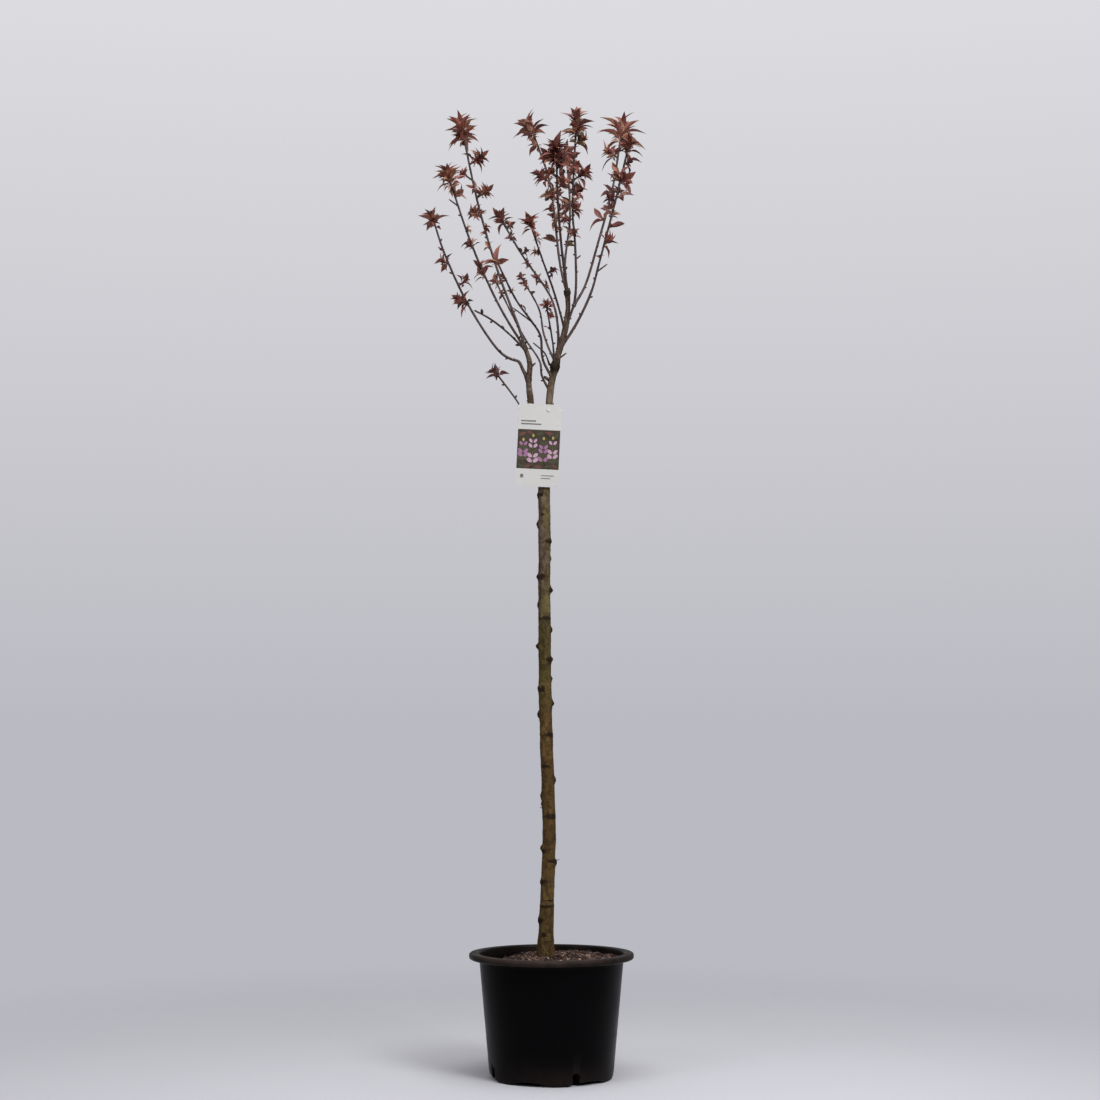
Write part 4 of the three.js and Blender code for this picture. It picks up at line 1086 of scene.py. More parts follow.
def trunk_finish(settings):
    """Bark that is brown low down, russet and then mossy above, purplish on its left and olive on its
    right near the fork, with dark mottling, pale level lenticels, and dark knots and scars by the mark."""
    finish = Finish("cherry_bark", settings.bark_mid, 0.8, gloss=0.22)
    height = finish.along("Z")
    base = finish.blend(finish.part(height, 0.36, 0.5), settings.bark_low, settings.bark_mid)
    base = finish.blend(finish.part(height, 0.74, 0.86), base, settings.moss)
    base = finish.blend(finish.part(height, 0.9, 1.12), base, settings.bark_high)
    wander = finish.cloud((60, 60, 45), -0.009, 0.009)
    side = finish.part(finish.sum(finish.along("X"), wander), -0.022, -0.004)
    upper = finish.times(finish.part(height, 0.86, 1.0), finish.part(height, 1.5, 1.3))
    base = finish.flecks(base, finish.times(side, upper), 0.85, settings.lichen)
    base = finish.blend(finish.part(height, 1.45, 1.56, 0.0, 0.75), base, settings.twig)
    film = finish.blend(finish.part(height, 0.86, 1.15), srgb(124, 98, 54), srgb(136, 122, 104))
    # Clouds, film, mottling, lenticels and specks: pitch, detail, roughness, range, strength and colour.
    layers = [
        ((26, 26, 60), 3, 0.6, 0.42, 0.62, 0.45, srgb(50, 34, 10)),
        ((24, 24, 46), 4, 0.6, 0.5, 0.62, 0.42, film),
        ((10, 10, 14), 5, 0.7, 0.47, 0.58, 0.58, srgb(42, 29, 12)),
        ((9, 9, 1.9), 2, 0.55, 0.64, 0.72, 0.5, srgb(152, 120, 66)),
        (2.6, 2, 0.55, 0.64, 0.72, 0.4, srgb(158, 132, 78)),
    ]
    for pitch, detail, roughness, low, high, strength, colour in layers:
        share = finish.part(finish.noise(pitch, detail, roughness), low, high)
        base = finish.flecks(base, share, strength, colour)
    crumbs = finish.part(finish.noise(3.4, 4), 0.4, 0.6)
    foot = finish.times(finish.part(height, 0.292, 0.256), crumbs)
    base = finish.flecks(base, foot, 0.9, srgb(36, 24, 15))
    torn = finish.sum(finish.mark(), finish.cloud((4, 4, 3), -0.25, 0.25, 4, 0.7))
    finish.colour(finish.blend(finish.part(torn, 0.12, 0.66), base, srgb(34, 23, 7)))
    finish.roughness(finish.cloud(12, 0.7, 0.9))
    finish.bump((2.4, 2.4, 6), 4, 0.8)
    finish.bump(0.9, 3, 0.2)
    return finish.material


def twig_finish(settings):
    """Purple-grey young bark that darkens and reddens towards the tips, with a grey film and pale dots."""
    finish = Finish("twig_bark", settings.twig, 0.62)
    base = finish.blend(finish.part(finish.mark(), 0.05, 0.6), settings.twig, settings.shoot)
    film = finish.part(finish.noise((16, 16, 24), 4), 0.48, 0.66)
    base = finish.flecks(base, film, 0.35, srgb(92, 76, 68))
    dots = finish.part(finish.cells(3.4), 0.2, 0.1)
    finish.colour(finish.flecks(base, dots, 0.55, srgb(160, 140, 122)))
    finish.roughness(finish.cloud(7, 0.5, 0.72))
    finish.bump((1.5, 1.5, 2.5), 3, 0.2)
    return finish.material


def leaf_finish(name, colour):
    """A young leaf: one plain colour, a soft gloss broken by fine cloudy noise, over a faint bumpy relief."""
    finish = Finish(name, colour, 0.46, gloss=0.42)
    finish.roughness(finish.cloud(2.6, 0.4, 0.62))
    finish.bump(1.6, 3, 0.16)
    return finish.material


def card_finish(name, colour, roughness=0.34):
    """Smooth printed plastic card: a plain colour with a faint waviness in its gloss."""
    finish = Finish(name, colour, roughness)
    finish.roughness(finish.cloud(14, roughness - 0.04, roughness + 0.1))
    finish.bump(0.8, 2, 0.02)
    return finish.material


def tie_finish(settings):
    """Milky nylon of the loop."""
    finish = Finish("tie_nylon", settings.tie, 0.38)
    finish.colour(finish.blend(finish.cloud(4), settings.tie, srgb(206, 204, 196)))
    finish.bump(0.7, 2, 0.03)
    return finish.material


# Pot and compost


def bend_points(centre_radius, centre_height, from_deg, size):
    """A quarter turn in the pot's profile: centre + size * (cosine, sine)."""
    angle = np.radians(np.linspace(from_deg, from_deg + 90, BEND_ROWS))
    return np.array([centre_radius, centre_height]) + size * circle(angle)


def pot_columns(columns):
    """Angles round the pot: even ones, with more at each slot so that its edges are sharp."""
    even = np.linspace(0, 360, columns, endpoint=False)
    edge = math.degrees(math.asin(SLOT_WIDTH / 2 / POT_BASE_RADIUS))
    spread = edge * np.sin(np.radians(np.linspace(-90, 90, SLOT_COLUMNS)))
    near = np.concatenate([spread, [-edge - SLOT_EDGE_DEG, edge + SLOT_EDGE_DEG]])
    slots = FIRST_SLOT_DEG + 360 / SLOTS * np.arange(SLOTS)
    angles = np.concatenate([even, (slots[:, None] + near).ravel()]) % 360
    return np.radians(np.unique(np.round(angles, 5)))


def pot_edge(angles):
    """Height of the pot's lower edge: a shallow parabola between neighbouring feet, and round-topped
    slots an even turn apart."""
    spacing = 360 / FEET
    from_foot = (np.degrees(angles) - FIRST_FOOT_DEG) % spacing
    across = POT_BASE_RADIUS * np.sin(np.radians(from_foot - spacing / 2))
    arch = ARCH_HEIGHT - (ARCH_HEIGHT + ARCH_START_BELOW) * (across / (ARCH_WIDTH / 2)) ** 2
    turn = 360 / SLOTS
    from_slot = (np.degrees(angles) - FIRST_SLOT_DEG + turn / 2) % turn - turn / 2
    beside = POT_BASE_RADIUS * np.sin(np.radians(from_slot))
    radius = SLOT_WIDTH / 2
    roof = SLOT_HEIGHT - radius + np.sqrt(np.maximum(0, radius**2 - beside**2))
    return np.maximum(np.maximum(arch, 0), np.where(np.abs(beside) <= radius, roof, 0))


def pot_surface(columns):
    """A profile turned round the upright axis: radius and height for each row, with the lower edge of the
    wall lifted by the arches and slots. The mark is the dust that lies on the lip and foot, thickest in
    front."""
    angles = pot_columns(columns)
    edge = pot_edge(angles)
    wall_top = POT_HEIGHT - LIP_HEIGHT
    rows = []

    def row(radius, height, dust=0.0):
        rows.append((radius + 0 * edge, height + 0 * edge, dust + 0 * edge))

    row(FOOT_RING_INNER / 2, 0)
    row(FOOT_RING_INNER - UNDERSIDE_EDGE, 0)
    row(FOOT_RING_INNER, edge)
    for radius, height in bend_points(POT_BASE_RADIUS - POT_CORNER, POT_CORNER, -90, POT_CORNER):
        row(radius, edge + height, FOOT_DUST)
    for share in np.linspace(*WALL_SPAN, WALL_ROWS):
        height = lerp(edge + POT_CORNER, wall_top, share)
        radius = lerp(POT_BASE_RADIUS, POT_TOP_RADIUS, (height - POT_CORNER) / (wall_top - POT_CORNER))
        row(radius, height, WALL_DUST * bell(share, WALL_DUST_REACH))
    for outwards, upwards in NECK:
        row(POT_TOP_RADIUS + outwards, wall_top + upwards)
    bends = [
        (LIP_RADIUS - LIP_ROUND, wall_top + LIP_ROUND, -90),
        (LIP_RADIUS - LIP_ROUND, POT_HEIGHT - LIP_ROUND, 0),
        (LIP_INNER_RADIUS + LIP_ROUND, POT_HEIGHT - LIP_ROUND, 90),
    ]
    for bend, dust in zip(bends, LIP_DUST):
        for radius, height in bend_points(*bend, LIP_ROUND):
            row(radius, height, dust)
    row(INNER_WALL_RADIUS, wall_top - LIP_HEIGHT, INNER_DUST)
    roof = np.maximum(FOOT_RING_HEIGHT, edge + NOTCH_ROOF)
    row(INNER_FOOT_RADIUS, roof)
    row(FOOT_RING_INNER - FLOOR_EDGE[0], roof)
    row(FOOT_RING_INNER - FLOOR_EDGE[1], POT_FLOOR)
    radius, height, dust = np.array(rows).transpose(1, 0, 2)
    from_front = (np.degrees(angles) - FRONT + 180) % 360 - 180
    worn = lerp(BACK_DUST_SHARE, 1.0, bell(from_front, DUSTY_REACH_DEG))
    rings = np.stack([radius * np.cos(angles), radius * np.sin(angles), height], axis=-1)
    return tube(rings, (0, 0, 0), (0, 0, POT_FLOOR), dust * worn)


def soil_height(x, y):
    """Level near the trunk, then settled by the ripple, and sunk by the dip towards the left side."""
    away = np.maximum(0, np.hypot(x - TRUNK_PATH[0][0], y) - SOIL_FLAT_RADIUS)
    settled = np.minimum(1, away / SOIL_FLAT_RADIUS)
    dip = SOIL_DIP * smoothstep(-x, SOIL_DIP_START, SOIL_DIP_END)
    ripple = SOIL_RIPPLE * np.sin(x / SOIL_RIPPLE_PITCH) * np.cos(y / SOIL_RIPPLE_PITCH)
    return SOIL_LEVEL - settled * (dip + SOIL_RIPPLE + ripple)


def foot_mound(x, y):
    """The little heap round the trunk, highest at the bark and dying away outwards."""
    away = np.maximum(0, np.hypot(x - TRUNK_PATH[0][0], y) - TRUNK_LOW_RADIUS - MOUND_START)
    return MOUND_HEIGHT * np.exp(-away / MOUND_REACH)


def compost_bed():
    """A turned plug whose top follows the soil height, roughened by the sum of the crumbs' noises."""
    radius = np.concatenate([[70, SOIL_RADIUS - 1], SOIL_RADIUS * np.linspace(1, 0.01, BED_RINGS)])
    x, y = np.moveaxis(radius[:, None, None] * circle(around(BED_SIDES)), -1, 0)
    flat = np.stack([x, y, 0 * x], axis=-1)
    rough = sum(height * smooth_noise(flat, pitch, seed) for height, pitch, seed in BED_CRUMBS)
    z = soil_height(x, y) + foot_mound(x, y) - BED_BELOW_CHIPS + rough
    z[:2] = SOIL_UNDERSIDE
    rings = np.stack([x, y, z], axis=-1)
    return tube(rings, (0, 0, SOIL_UNDERSIDE), rings[-1].mean(axis=0))


def turned(corners, yaw, pitch, roll):
    """Corners turned by roll about X, then pitch about Y, then yaw about Z, one set of angles each."""
    x, y, z = np.moveaxis(corners, -1, 0)
    cos, sin = np.cos(roll)[:, None], np.sin(roll)[:, None]
    y, z = y * cos - z * sin, y * sin + z * cos
    cos, sin = np.cos(pitch)[:, None], np.sin(pitch)[:, None]
    x, z = x * cos + z * sin, z * cos - x * sin
    cos, sin = np.cos(yaw)[:, None], np.sin(yaw)[:, None]
    x, y = x * cos - y * sin, x * sin + y * cos
    return np.stack([x, y, z], axis=-1)


def bark_chips(settings):
    """Eight-cornered chips with each corner moved at random, scattered evenly over the compost, turned
    every way and sunk by half their thickness. A few in a hundred are pale wood."""
    generator = np.random.default_rng(settings.seed)
    count = settings.chips
    chance = generator.uniform(0, 1, count)
    length = settings.chip_length / MM * (CHIP_LEAST + CHIP_SPREAD * chance**CHIP_POWER)
    width = length * generator.uniform(*CHIP_WIDTH, count)
    thickness = length * generator.uniform(*CHIP_THICKNESS, count)
    radius = (SOIL_RADIUS - 2 - length / 2) * np.sqrt(generator.uniform(0, 1, count))
    angle = generator.uniform(0, 2 * np.pi, count)
    x, y = radius * np.cos(angle), radius * np.sin(angle)
    clear = np.hypot(x - TRUNK_PATH[0][0], y) > TRUNK_LOW_RADIUS + 1
    signs = np.array(list(np.ndindex(2, 2, 2)), dtype=float)[:, ::-1] * 2 - 1
    half = np.stack([length, width, thickness], axis=-1)[:, None] / 2
    corners = signs * half * generator.uniform(*CHIP_RAGGED, (count, 8, 3))
    tilt = generator.normal(0, CHIP_TILT, (2, count))
    corners = turned(corners, generator.uniform(0, 2 * np.pi, count), tilt[0], tilt[1])
    lift = soil_height(x, y) + foot_mound(x, y) - CHIP_SINK + generator.uniform(*CHIP_HEAP, count)
    corners = corners + np.stack([x, y, lift], axis=-1)[:, None]
    kind = generator.choice(len(CHIP_SHARES), count, p=CHIP_SHARES)[clear]
    quads = CHIP_QUADS + 8 * np.arange(clear.sum())[:, None, None]
    chips = Surface(corners[clear], quads)
    chips.quad_material = np.repeat(kind, len(CHIP_QUADS))
    return chips


# Trunk, stems and boughs


def bark_relief(depth, lump, ridge, fine, seed):
    """Noise of 24 mm, of 5 mm drawn out along the limb, and of 2 mm; plus level lenticel ridges."""

    def relief(local, points):
        swell = depth * lump * smooth_noise(local, (24, 24, 32), seed)
        swell = swell + depth * ridge * smooth_noise(local, (4.5, 4.5, 19), seed + 1)
        swell = swell + depth * fine * smooth_noise(local, (2.2, 2.2, 2.2), seed + 2)
        bars = smooth_noise(local, (6.5, 6.5, 2.1), seed + 3)
        swell = swell + 0.8 * depth * ridge * smoothstep(bars, 0.42, 0.7)
        return swell, np.zeros(swell.shape)

    return relief


def trunk_relief(depth):
    """Bark relief, root lobes, year rings, and at each knot a bell that stands out with a dark pit."""
    plain = bark_relief(depth, *TRUNK_GRAIN, 11)

    def relief(local, points):
        swell, mark = plain(local, points)
        level = points[..., 2]
        angle = np.arctan2(local[..., 1], local[..., 0])
        low = np.exp(-np.maximum(0, level - TRUNK_FOOT) / ROOT_FLARE_REACH)
        for size, lobes, turn in ROOT_LOBES:
            swell = swell + size * low * np.cos(lobes * angle + turn)
        for height in TRUNK_RINGS:
            ring = bell(level - height - 1.5 * np.sin(angle), 2.6)
            swell = swell + 0.5 * ring
            mark = np.maximum(mark, 0.3 * ring)
        rough = 1 + 0.35 * smooth_noise(local, (5, 5, 4), 71)
        for height, heading, tall, wide in TRUNK_SCARS:
            off = (angle - math.radians(heading) + np.pi) % (2 * np.pi) - np.pi
            scar = bell((level - height) * rough, tall) * bell(off * TRUNK_HIGH_RADIUS * rough, wide)
            swell = swell + 0.6 * scar
            mark = np.maximum(mark, 0.95 * scar)
        jagged = 1 + 0.3 * smooth_noise(local, (3.4, 3.4, 3), 73)
        away, width, rise, darkness = KNOT_COLLAR
        for height, heading, size in KNOTS:
            centre = TRUNK.point_at(height) + heading_vector(heading) * trunk_radius(height)
            distance = jagged * np.linalg.norm((points - centre) / np.array([1, 1, 1.15]), axis=-1)
            collar = bell(distance - away, width)
            swell = swell + KNOT_BELL[0] * size * bell(distance, KNOT_BELL[1])
            swell = swell - KNOT_PIT[0] * bell(distance, KNOT_PIT[1]) + rise * collar
            mark = np.maximum(mark, np.maximum(bell(distance, KNOT_MARK_REACH), darkness * collar))
        return swell, mark

    return relief


def trunk_surface(depth):
    """Rings 2 mm apart from just under the compost to the fork, then a dome of shrinking rings."""
    centres = TRUNK.at(np.linspace(0, 1, int(TRUNK.length / TRUNK_STEP)))
    buried = centres[0] - np.outer([TRUNK_BURIED, TRUNK_BURIED / 2], UPWARDS)
    rise = np.radians(CREST_STEPS_DEG)
    top = centres[-1] + np.outer(CREST_RISE * np.sin(rise), UPWARDS)
    radii = trunk_radius(np.concatenate([buried[:, 2], centres[:, 2]]))
    radii = np.concatenate([radii, radii[-1] * np.cos(rise)])
    centres = np.concatenate([buried, centres, top])
    directions = np.tile(UPWARDS, (len(centres), 1))
    return limb_surface(centres, directions, radii, TRUNK_SIDES, trunk_relief(depth))


def hair_spurs():
    """Dead hair-thin spurs that start inside the bark and rise a little."""
    for height, heading, length in HAIR_SPURS:
        out = heading_vector(heading)
        start = TRUNK.point_at(height) + out * (trunk_radius(height) - 2)
        yield peg_surface(start, start + out * length + UPWARDS * 4, HAIR_RADII, 7, 0.6)


def stem_surfaces(limbs, depth):
    """Both stems as tubes with bark relief, the knots in their dark swellings, and their cut stubs."""
    for number, limb in enumerate(limb for limb in limbs if limb.stem):
        plain = bark_relief(depth, *STEM_GRAIN, 31 + 10 * number)

        def relief(local, points):
            swell, mark = plain(local, points)
            lumps = smooth_noise(local, (8, 8, 7), 90)
            for height, size, reach in limb.bulges:
                near = bell(points[..., 2] - height, 1.5 * reach)
                swell = swell + near * size * (0.45 * lumps + 0.3 * smooth_noise(local, (4, 4, 3.5), 91))
                mark = np.maximum(mark, near * (0.22 * size + 0.2 * lumps))
            return swell, np.clip(mark, 0, 0.9)

        yield bark_along(limb, TRUNK_STEP, STEM_BARK, STEM_SIDES, relief)
        for height, heading, length, radius in limb.stubs:
            start = limb.curve.point_at(height)
            end = start + heading_vector(heading) * length + UPWARDS * length * TWIG_RISE
            yield peg_surface(start, end, radius * np.array(STUB_SHAPE), 12, 0.25)


def bough_surfaces(limbs, depth):
    """Each bough from its collar to its tip in rings 3 mm apart, with a low ridge at each joint. The mark
    runs from 0 at the root to 1 at the tip."""
    boughs = [limb for limb in limbs if not limb.stem]
    for number, limb in enumerate([*boughs, new_limb(BARE_TWIG, BARE_TWIG_RADII)]):

        def relief(local, points):
            run = local[..., 2]
            joint = np.abs(run / JOINT_PITCH - np.round(run / JOINT_PITCH)) * JOINT_PITCH
            swell = depth * 0.3 * smooth_noise(local, (5, 5, 13), 200 + number)
            swell = swell + JOINT_RISE * bell(joint, JOINT_REACH)
            swell = swell + 0.1 * smooth_noise(local, (2, 2, 3), 300 + number)
            return swell, run / run.max()

        yield bark_along(limb, BOUGH_STEP, BOUGH_BARK, BOUGH_SIDES, relief)


def bud_surfaces(limbs, spacing):
    """Pointed buds along every limb, each one on from the last by the golden angle and a spacing that
    varies by a third. They point outwards and onwards."""
    for number, (name, limb) in enumerate(limbs.items()):
        generator = np.random.default_rng([number, 5])
        growth = BARE_BUD_GROWTH if name == BARE_BOUGH else 1
        run = generator.uniform(0.4, 1) * spacing + (STEM_CLEAR_OF_BUDS if limb.stem else 0)
        turn = generator.uniform(0, 2 * np.pi)
        while run < limb.curve.length - TIP_CLEAR_OF_BUDS:
            share = run / limb.curve.length
            centre, direction = limb.curve.at(share)[0], limb.curve.directions(share)
            across, up = frames_along(direction)
            out = math.cos(turn) * across[0] + math.sin(turn) * up[0]
            size = generator.uniform(*BUD_GROWTH) * growth
            start = centre + out * limb_radius(limb, np.array([share]))[0] * 0.7
            end = start + unit(out + 0.75 * direction[0]) * BUD_LENGTH * size
            yield peg_surface(start, end, size * np.array(BUD_RADII), 7, 0.9)
            run += spacing * generator.uniform(*BUD_SPREAD) / growth
            turn += math.radians(GOLDEN_DEG)


def spur_surfaces(sprays):
    """Short shoots that carry the tufts: knobbly with old bud rings, and thin twigs with a bud on top."""
    for spur in (spray.spur for spray in sprays):
        if spur.tip:
            below, above = spur.end - spur.axis * 6, spur.end + spur.axis * 3
            yield peg_surface(below, above, TIP_RADII, 8, 0.9)
        elif spur.count == 0:
            radii = lerp(TWIG_ROOT_RADIUS, TWIG_TIP_RADIUS, np.linspace(0, 1, 9))
            radii = radii + 0.25 * (np.arange(9) % 3 == 1)
            yield peg_surface(spur.start, spur.end, np.append(radii, 0.9), 9, 0.7)
        else:
            end = spur.end if spur.twig else spur.start + spur.axis * 5
            yield peg_surface(spur.start, end, SPUR_RADIUS * np.array(SPUR_SHAPE), 9, 0.85)


# Leaves


def leaf_blades(leaves, colours, half_width, generator):
    """Each leaf is a run of four-cornered rings that ends in a point: a stalk, then a narrow blade folded
    up along its midrib. Its line lifts by 0.386 s - 0.516 s^2 of its length, and each leaf has its own
    fold, twist, side bend and width. Short leaves are broad for their length, and long ones slender."""
    count = len(leaves)
    base, along, face = (
        np.array([getattr(leaf, name) for leaf in leaves])[:, None] for name in ("base", "along", "face")
    )
    size = np.array([leaf.size for leaf in leaves])[:, None, None]
    across = np.cross(along, face)
    station = np.append(LEAF_STATIONS, 1.0)[None, :, None]
    each = (count, 1, 1)
    fold = generator.uniform(*BLADE_FOLD, each)
    twist = generator.normal(0, BLADE_TWIST[0], each)
    twist = twist + generator.normal(0, BLADE_TWIST[1], each) * station
    bend = generator.normal(0, BLADE_BEND, each) * station**2
    lift = (0.386 * station - 0.516 * station**2) * generator.uniform(*BLADE_LIFT, each)
    middle = base + size * (station * along + lift * face + bend * across)
    wide = half_width * generator.uniform(*BLADE_WIDTH, each) * size * LEAF_WIDTHS[:, None]
    narrowing = 1 - 0.25 * (fold - BLADE_FOLD[0])
    wide = wide * narrowing * np.minimum(BROADEST, BROAD_LEAF / size) ** SLENDERNESS
    deep = LEAF_DEPTHS[:, None] * np.minimum(1.15, size / 30)
    side = (np.cos(twist) * across + np.sin(twist) * face)[:, :-1]
    front = (np.cos(twist) * face - np.sin(twist) * across)[:, :-1]
    middle, tip = middle[:, :-1], middle[:, -1:]
    edge = fold * wide * front
    left, right = middle - wide * side + edge, middle + wide * side + edge
    rings = np.stack([right, middle - deep * front, left, middle + deep * front], axis=2)
    vertices = np.concatenate([rings.reshape(count, -1, 3), tip], axis=1)
    point = 4 * len(LEAF_STATIONS)
    quads = np.vstack([ring_quads(len(LEAF_STATIONS), 4), [[3, 2, 1, 0]]])
    triangles = np.array([[point - 4 + corner, point - 4 + (corner + 1) % 4, point] for corner in range(4)])
    step = (point + 1) * np.arange(count)[:, None, None]
    blades = Surface(vertices, quads + step, triangles + step)
    blades.quad_material = np.repeat(colours, len(quads))
    blades.triangle_material = np.repeat(colours, len(triangles))
    return blades


def spray_colours(sprays, generator):
    """One material number a leaf. Each spray has one main tint for its grown leaves and one for the
    younger leaves inside, and some of its leaves take the next tint. The lowest sprays are dark all
    through."""
    numbers = []
    for spray in sprays:
        young = np.array([leaf.young for leaf in spray.leaves], dtype=bool)
        grown_tint = generator.choice(len(GROWN_CHANCES), p=GROWN_CHANCES)
        young_tint = 1 + generator.choice(len(YOUNG_CHANCES), p=YOUNG_CHANCES)
        if spray.spur.end[2] < DARK_SPRAYS_BELOW:
            young_tint = grown_tint
        shift = generator.choice([-1, 0, 1], len(young), p=SHIFT_CHANCES)
        numbers.append(np.clip(np.where(young, young_tint, grown_tint) + shift, 0, len(LEAF_TINTS) - 1))
    return np.concatenate(numbers)


# Card


def card_outline():
    """The card's outline as seen from the front, counter-clockwise, with round corners, and points along
    its straight sides."""
    corners = []
    for right, up, size, first in (
        (1, -1, CARD_CORNER_BOTTOM, -90), (1, 1, CARD_CORNER_TOP, 0),
        (-1, 1, CARD_CORNER_TOP, 90), (-1, -1, CARD_CORNER_BOTTOM, 180),
    ):
        centre = np.array([right * (CARD_WIDTH / 2 - size), up * (CARD_HEIGHT / 2 - size)])
        corners.append(centre + size * circle(np.radians(np.linspace(first, first + 90, 9))))
    between = np.linspace(0, 1, 16)[1:-1, None]
    sides = [lerp(corner[-1], after[0], between) for corner, after in zip(corners, corners[1:] + corners[:1])]
    return np.vstack([part for pair in zip(corners, sides) for part in pair])


def card_place(flat, depth):
    """Card coordinates (across, up) to the tree's: turned by the card's lean about its centre, with a
    slight bow of its lower half, and set a depth in front of its back face."""
    leaning = flat_turned(flat, -CARD_LEAN_DEG) + CARD_CENTRE
    across, up = flat[..., 0], flat[..., 1]
    bow = bpy.context.scene.cherry.label.bow / MM * smoothstep(-up, BOW_START, BOW_END)
    y = CARD_FACE_Y + CARD_THICKNESS - depth - bow * (0.35 + (across / CARD_WIDTH * 2) ** 2)
    return np.stack([leaning[..., 0], y, leaning[..., 1]], axis=-1)


def card_surface(stem):
    """A closed sheet between the hole, where the tie passes through the card, and the outline: rings of
    points that run from the one to the other on the front, round the edge, and back behind."""
    outline = card_outline()
    hole = flat_turned(stem.curve.point_at(TIE_HEIGHT)[[0, 2]] - CARD_CENTRE, CARD_LEAN_DEG)
    near = hole + CARD_HOLE_RADIUS * unit(outline - hole)
    share = np.linspace(0, 1, 14) ** 1.3
    flat = near + (outline - near) * share[:, None, None]
    rings = np.concatenate([card_place(flat[::-1], 0.0), card_place(flat, CARD_THICKNESS)])
    return Surface(rings, ring_quads(len(rings), len(outline), wrap=True))


def print_patch(centre, length, width, turn_deg, layer, material, sharp=0.0):
    """A printed shape, a hair thick: length * cosine by width * sine * |sine|^sharp, turned and placed on
    the card's face."""
    flat = circle(around(20)) * (length / 2, width / 2)
    flat[:, 1] *= np.abs(np.sin(around(20))) ** sharp
    centre = np.asarray(centre, dtype=float)
    flat = flat_turned(flat, turn_deg) + centre
    lift = CARD_THICKNESS + INK_STEP * layer
    rings = np.stack([card_place(flat, lift - INK_DEPTH), card_place(flat, lift)])
    return tube(rings, card_place(centre, lift - INK_DEPTH), card_place(centre, lift), 0.0, material)


def print_block(left, right, low, high, material):
    """A printed rectangle as a fine grid, closed behind, so that it follows the card's bow."""
    side = 12
    flat = np.stack(np.meshgrid(np.linspace(left, right, side), np.linspace(low, high, side)), axis=-1)
    lift = CARD_THICKNESS + INK_STEP
    sheet = np.arange(side * side).reshape(side, side)
    square = np.stack([sheet[:-1, :-1], sheet[:-1, 1:], sheet[1:, 1:], sheet[1:, :-1]], axis=-1)
    square = square.reshape(-1, 4)
    rim = np.concatenate([sheet[0, :-1], sheet[:-1, -1], sheet[-1, :0:-1], sheet[:0:-1, 0]])
    after = np.roll(rim, -1)
    edge = np.stack([rim, rim + sheet.size, after + sheet.size, after], axis=-1)
    vertices = np.stack([card_place(flat, lift), card_place(flat, lift - INK_DEPTH)])
    return Surface(vertices, np.vstack([square, square[:, ::-1] + sheet.size, edge]), material=material)


def card_print():
    """A dark band with upright sprigs, each a stem with pairs of pink ovals and pointed leaves and a
    yellow top, over loose leaves, and plain bars above and below. It carries no lettering."""
    parts = [print_block(*BAND, GROUND)]
    for across, up, length, turn, ink in LOOSE_LEAVES:
        parts.append(print_patch((across, up), length, 0.36 * length, turn, 2, ink, 1.0))
    for number, (across, up, height, pink) in enumerate(SPRIGS):
        parts.append(print_patch((across, up + height / 2 - 22), height, 1.6, 90, 2, STALK, 0.2))
        for pair in range(5):
            level = up - 20 + height * (0.14 + 0.16 * pair)
            ink, sharp = (pink, 0.1) if (pair + number) % 3 > 0 else (GREEN, 1.0)
            for side in (-1, 1):
                place = (across + side * (7.0 - 0.5 * pair), level + 4)
                turn = 90 - side * (52 - 4 * pair)
                layer = 3 + pair % 2
                parts.append(print_patch(place, 14 - pair, 8.4 - 0.6 * pair, turn, layer, ink, sharp))
        parts.append(print_patch((across, up + height - 19), 7, 5, 90, 5, YELLOW))
    parts.extend(print_block(*bar, GREY) for bar in BARS)
    return parts


# Settings


def colour_setting(name, description, *levels):
    """A colour picker that starts from display values of 0 to 255."""
    return bpy.props.FloatVectorProperty(
        name=name, description=description, subtype="COLOR", size=3, min=0, max=1, default=srgb(*levels)
    )


def number_setting(name, description, default, low, high, **kind):
    """A number held between low and high."""
    return bpy.props.FloatProperty(
        name=name, description=description, default=default, min=low, max=high, **kind
    )


def length_setting(name, description, default, low, high):
    """A length in metres."""
    return number_setting(name, description, default, low, high, subtype="DISTANCE", unit="LENGTH")


def count_setting(name, description, default, low, high=LARGEST_WHOLE):
    """A whole number."""
    return bpy.props.IntProperty(name=name, description=description, default=default, min=low, max=high)


class CherryPotSettings(bpy.types.PropertyGroup):
    plastic: colour_setting("Plastic", "Colour of the moulded pot", 3, 2, 3)
    dust: colour_setting("Dust", "Colour of the dust on the lip and foot", 62, 52, 47)
    columns: count_setting("Columns", "Faces round the pot", 192, 48, 360)


class CherryCompostSettings(bpy.types.PropertyGroup):
    chips: count_setting("Chips", "Pieces of bark that lie on the compost", 3600, 100, 6000)
    chip_length: length_setting("Chip length", "Usual length of a piece of bark", 0.0098, 0.003, 0.03)
    seed: count_setting("Seed", "Another scatter of the chips", 8, 0)
    bed: colour_setting("Bed", "Colour of the fine compost", 38, 27, 22)


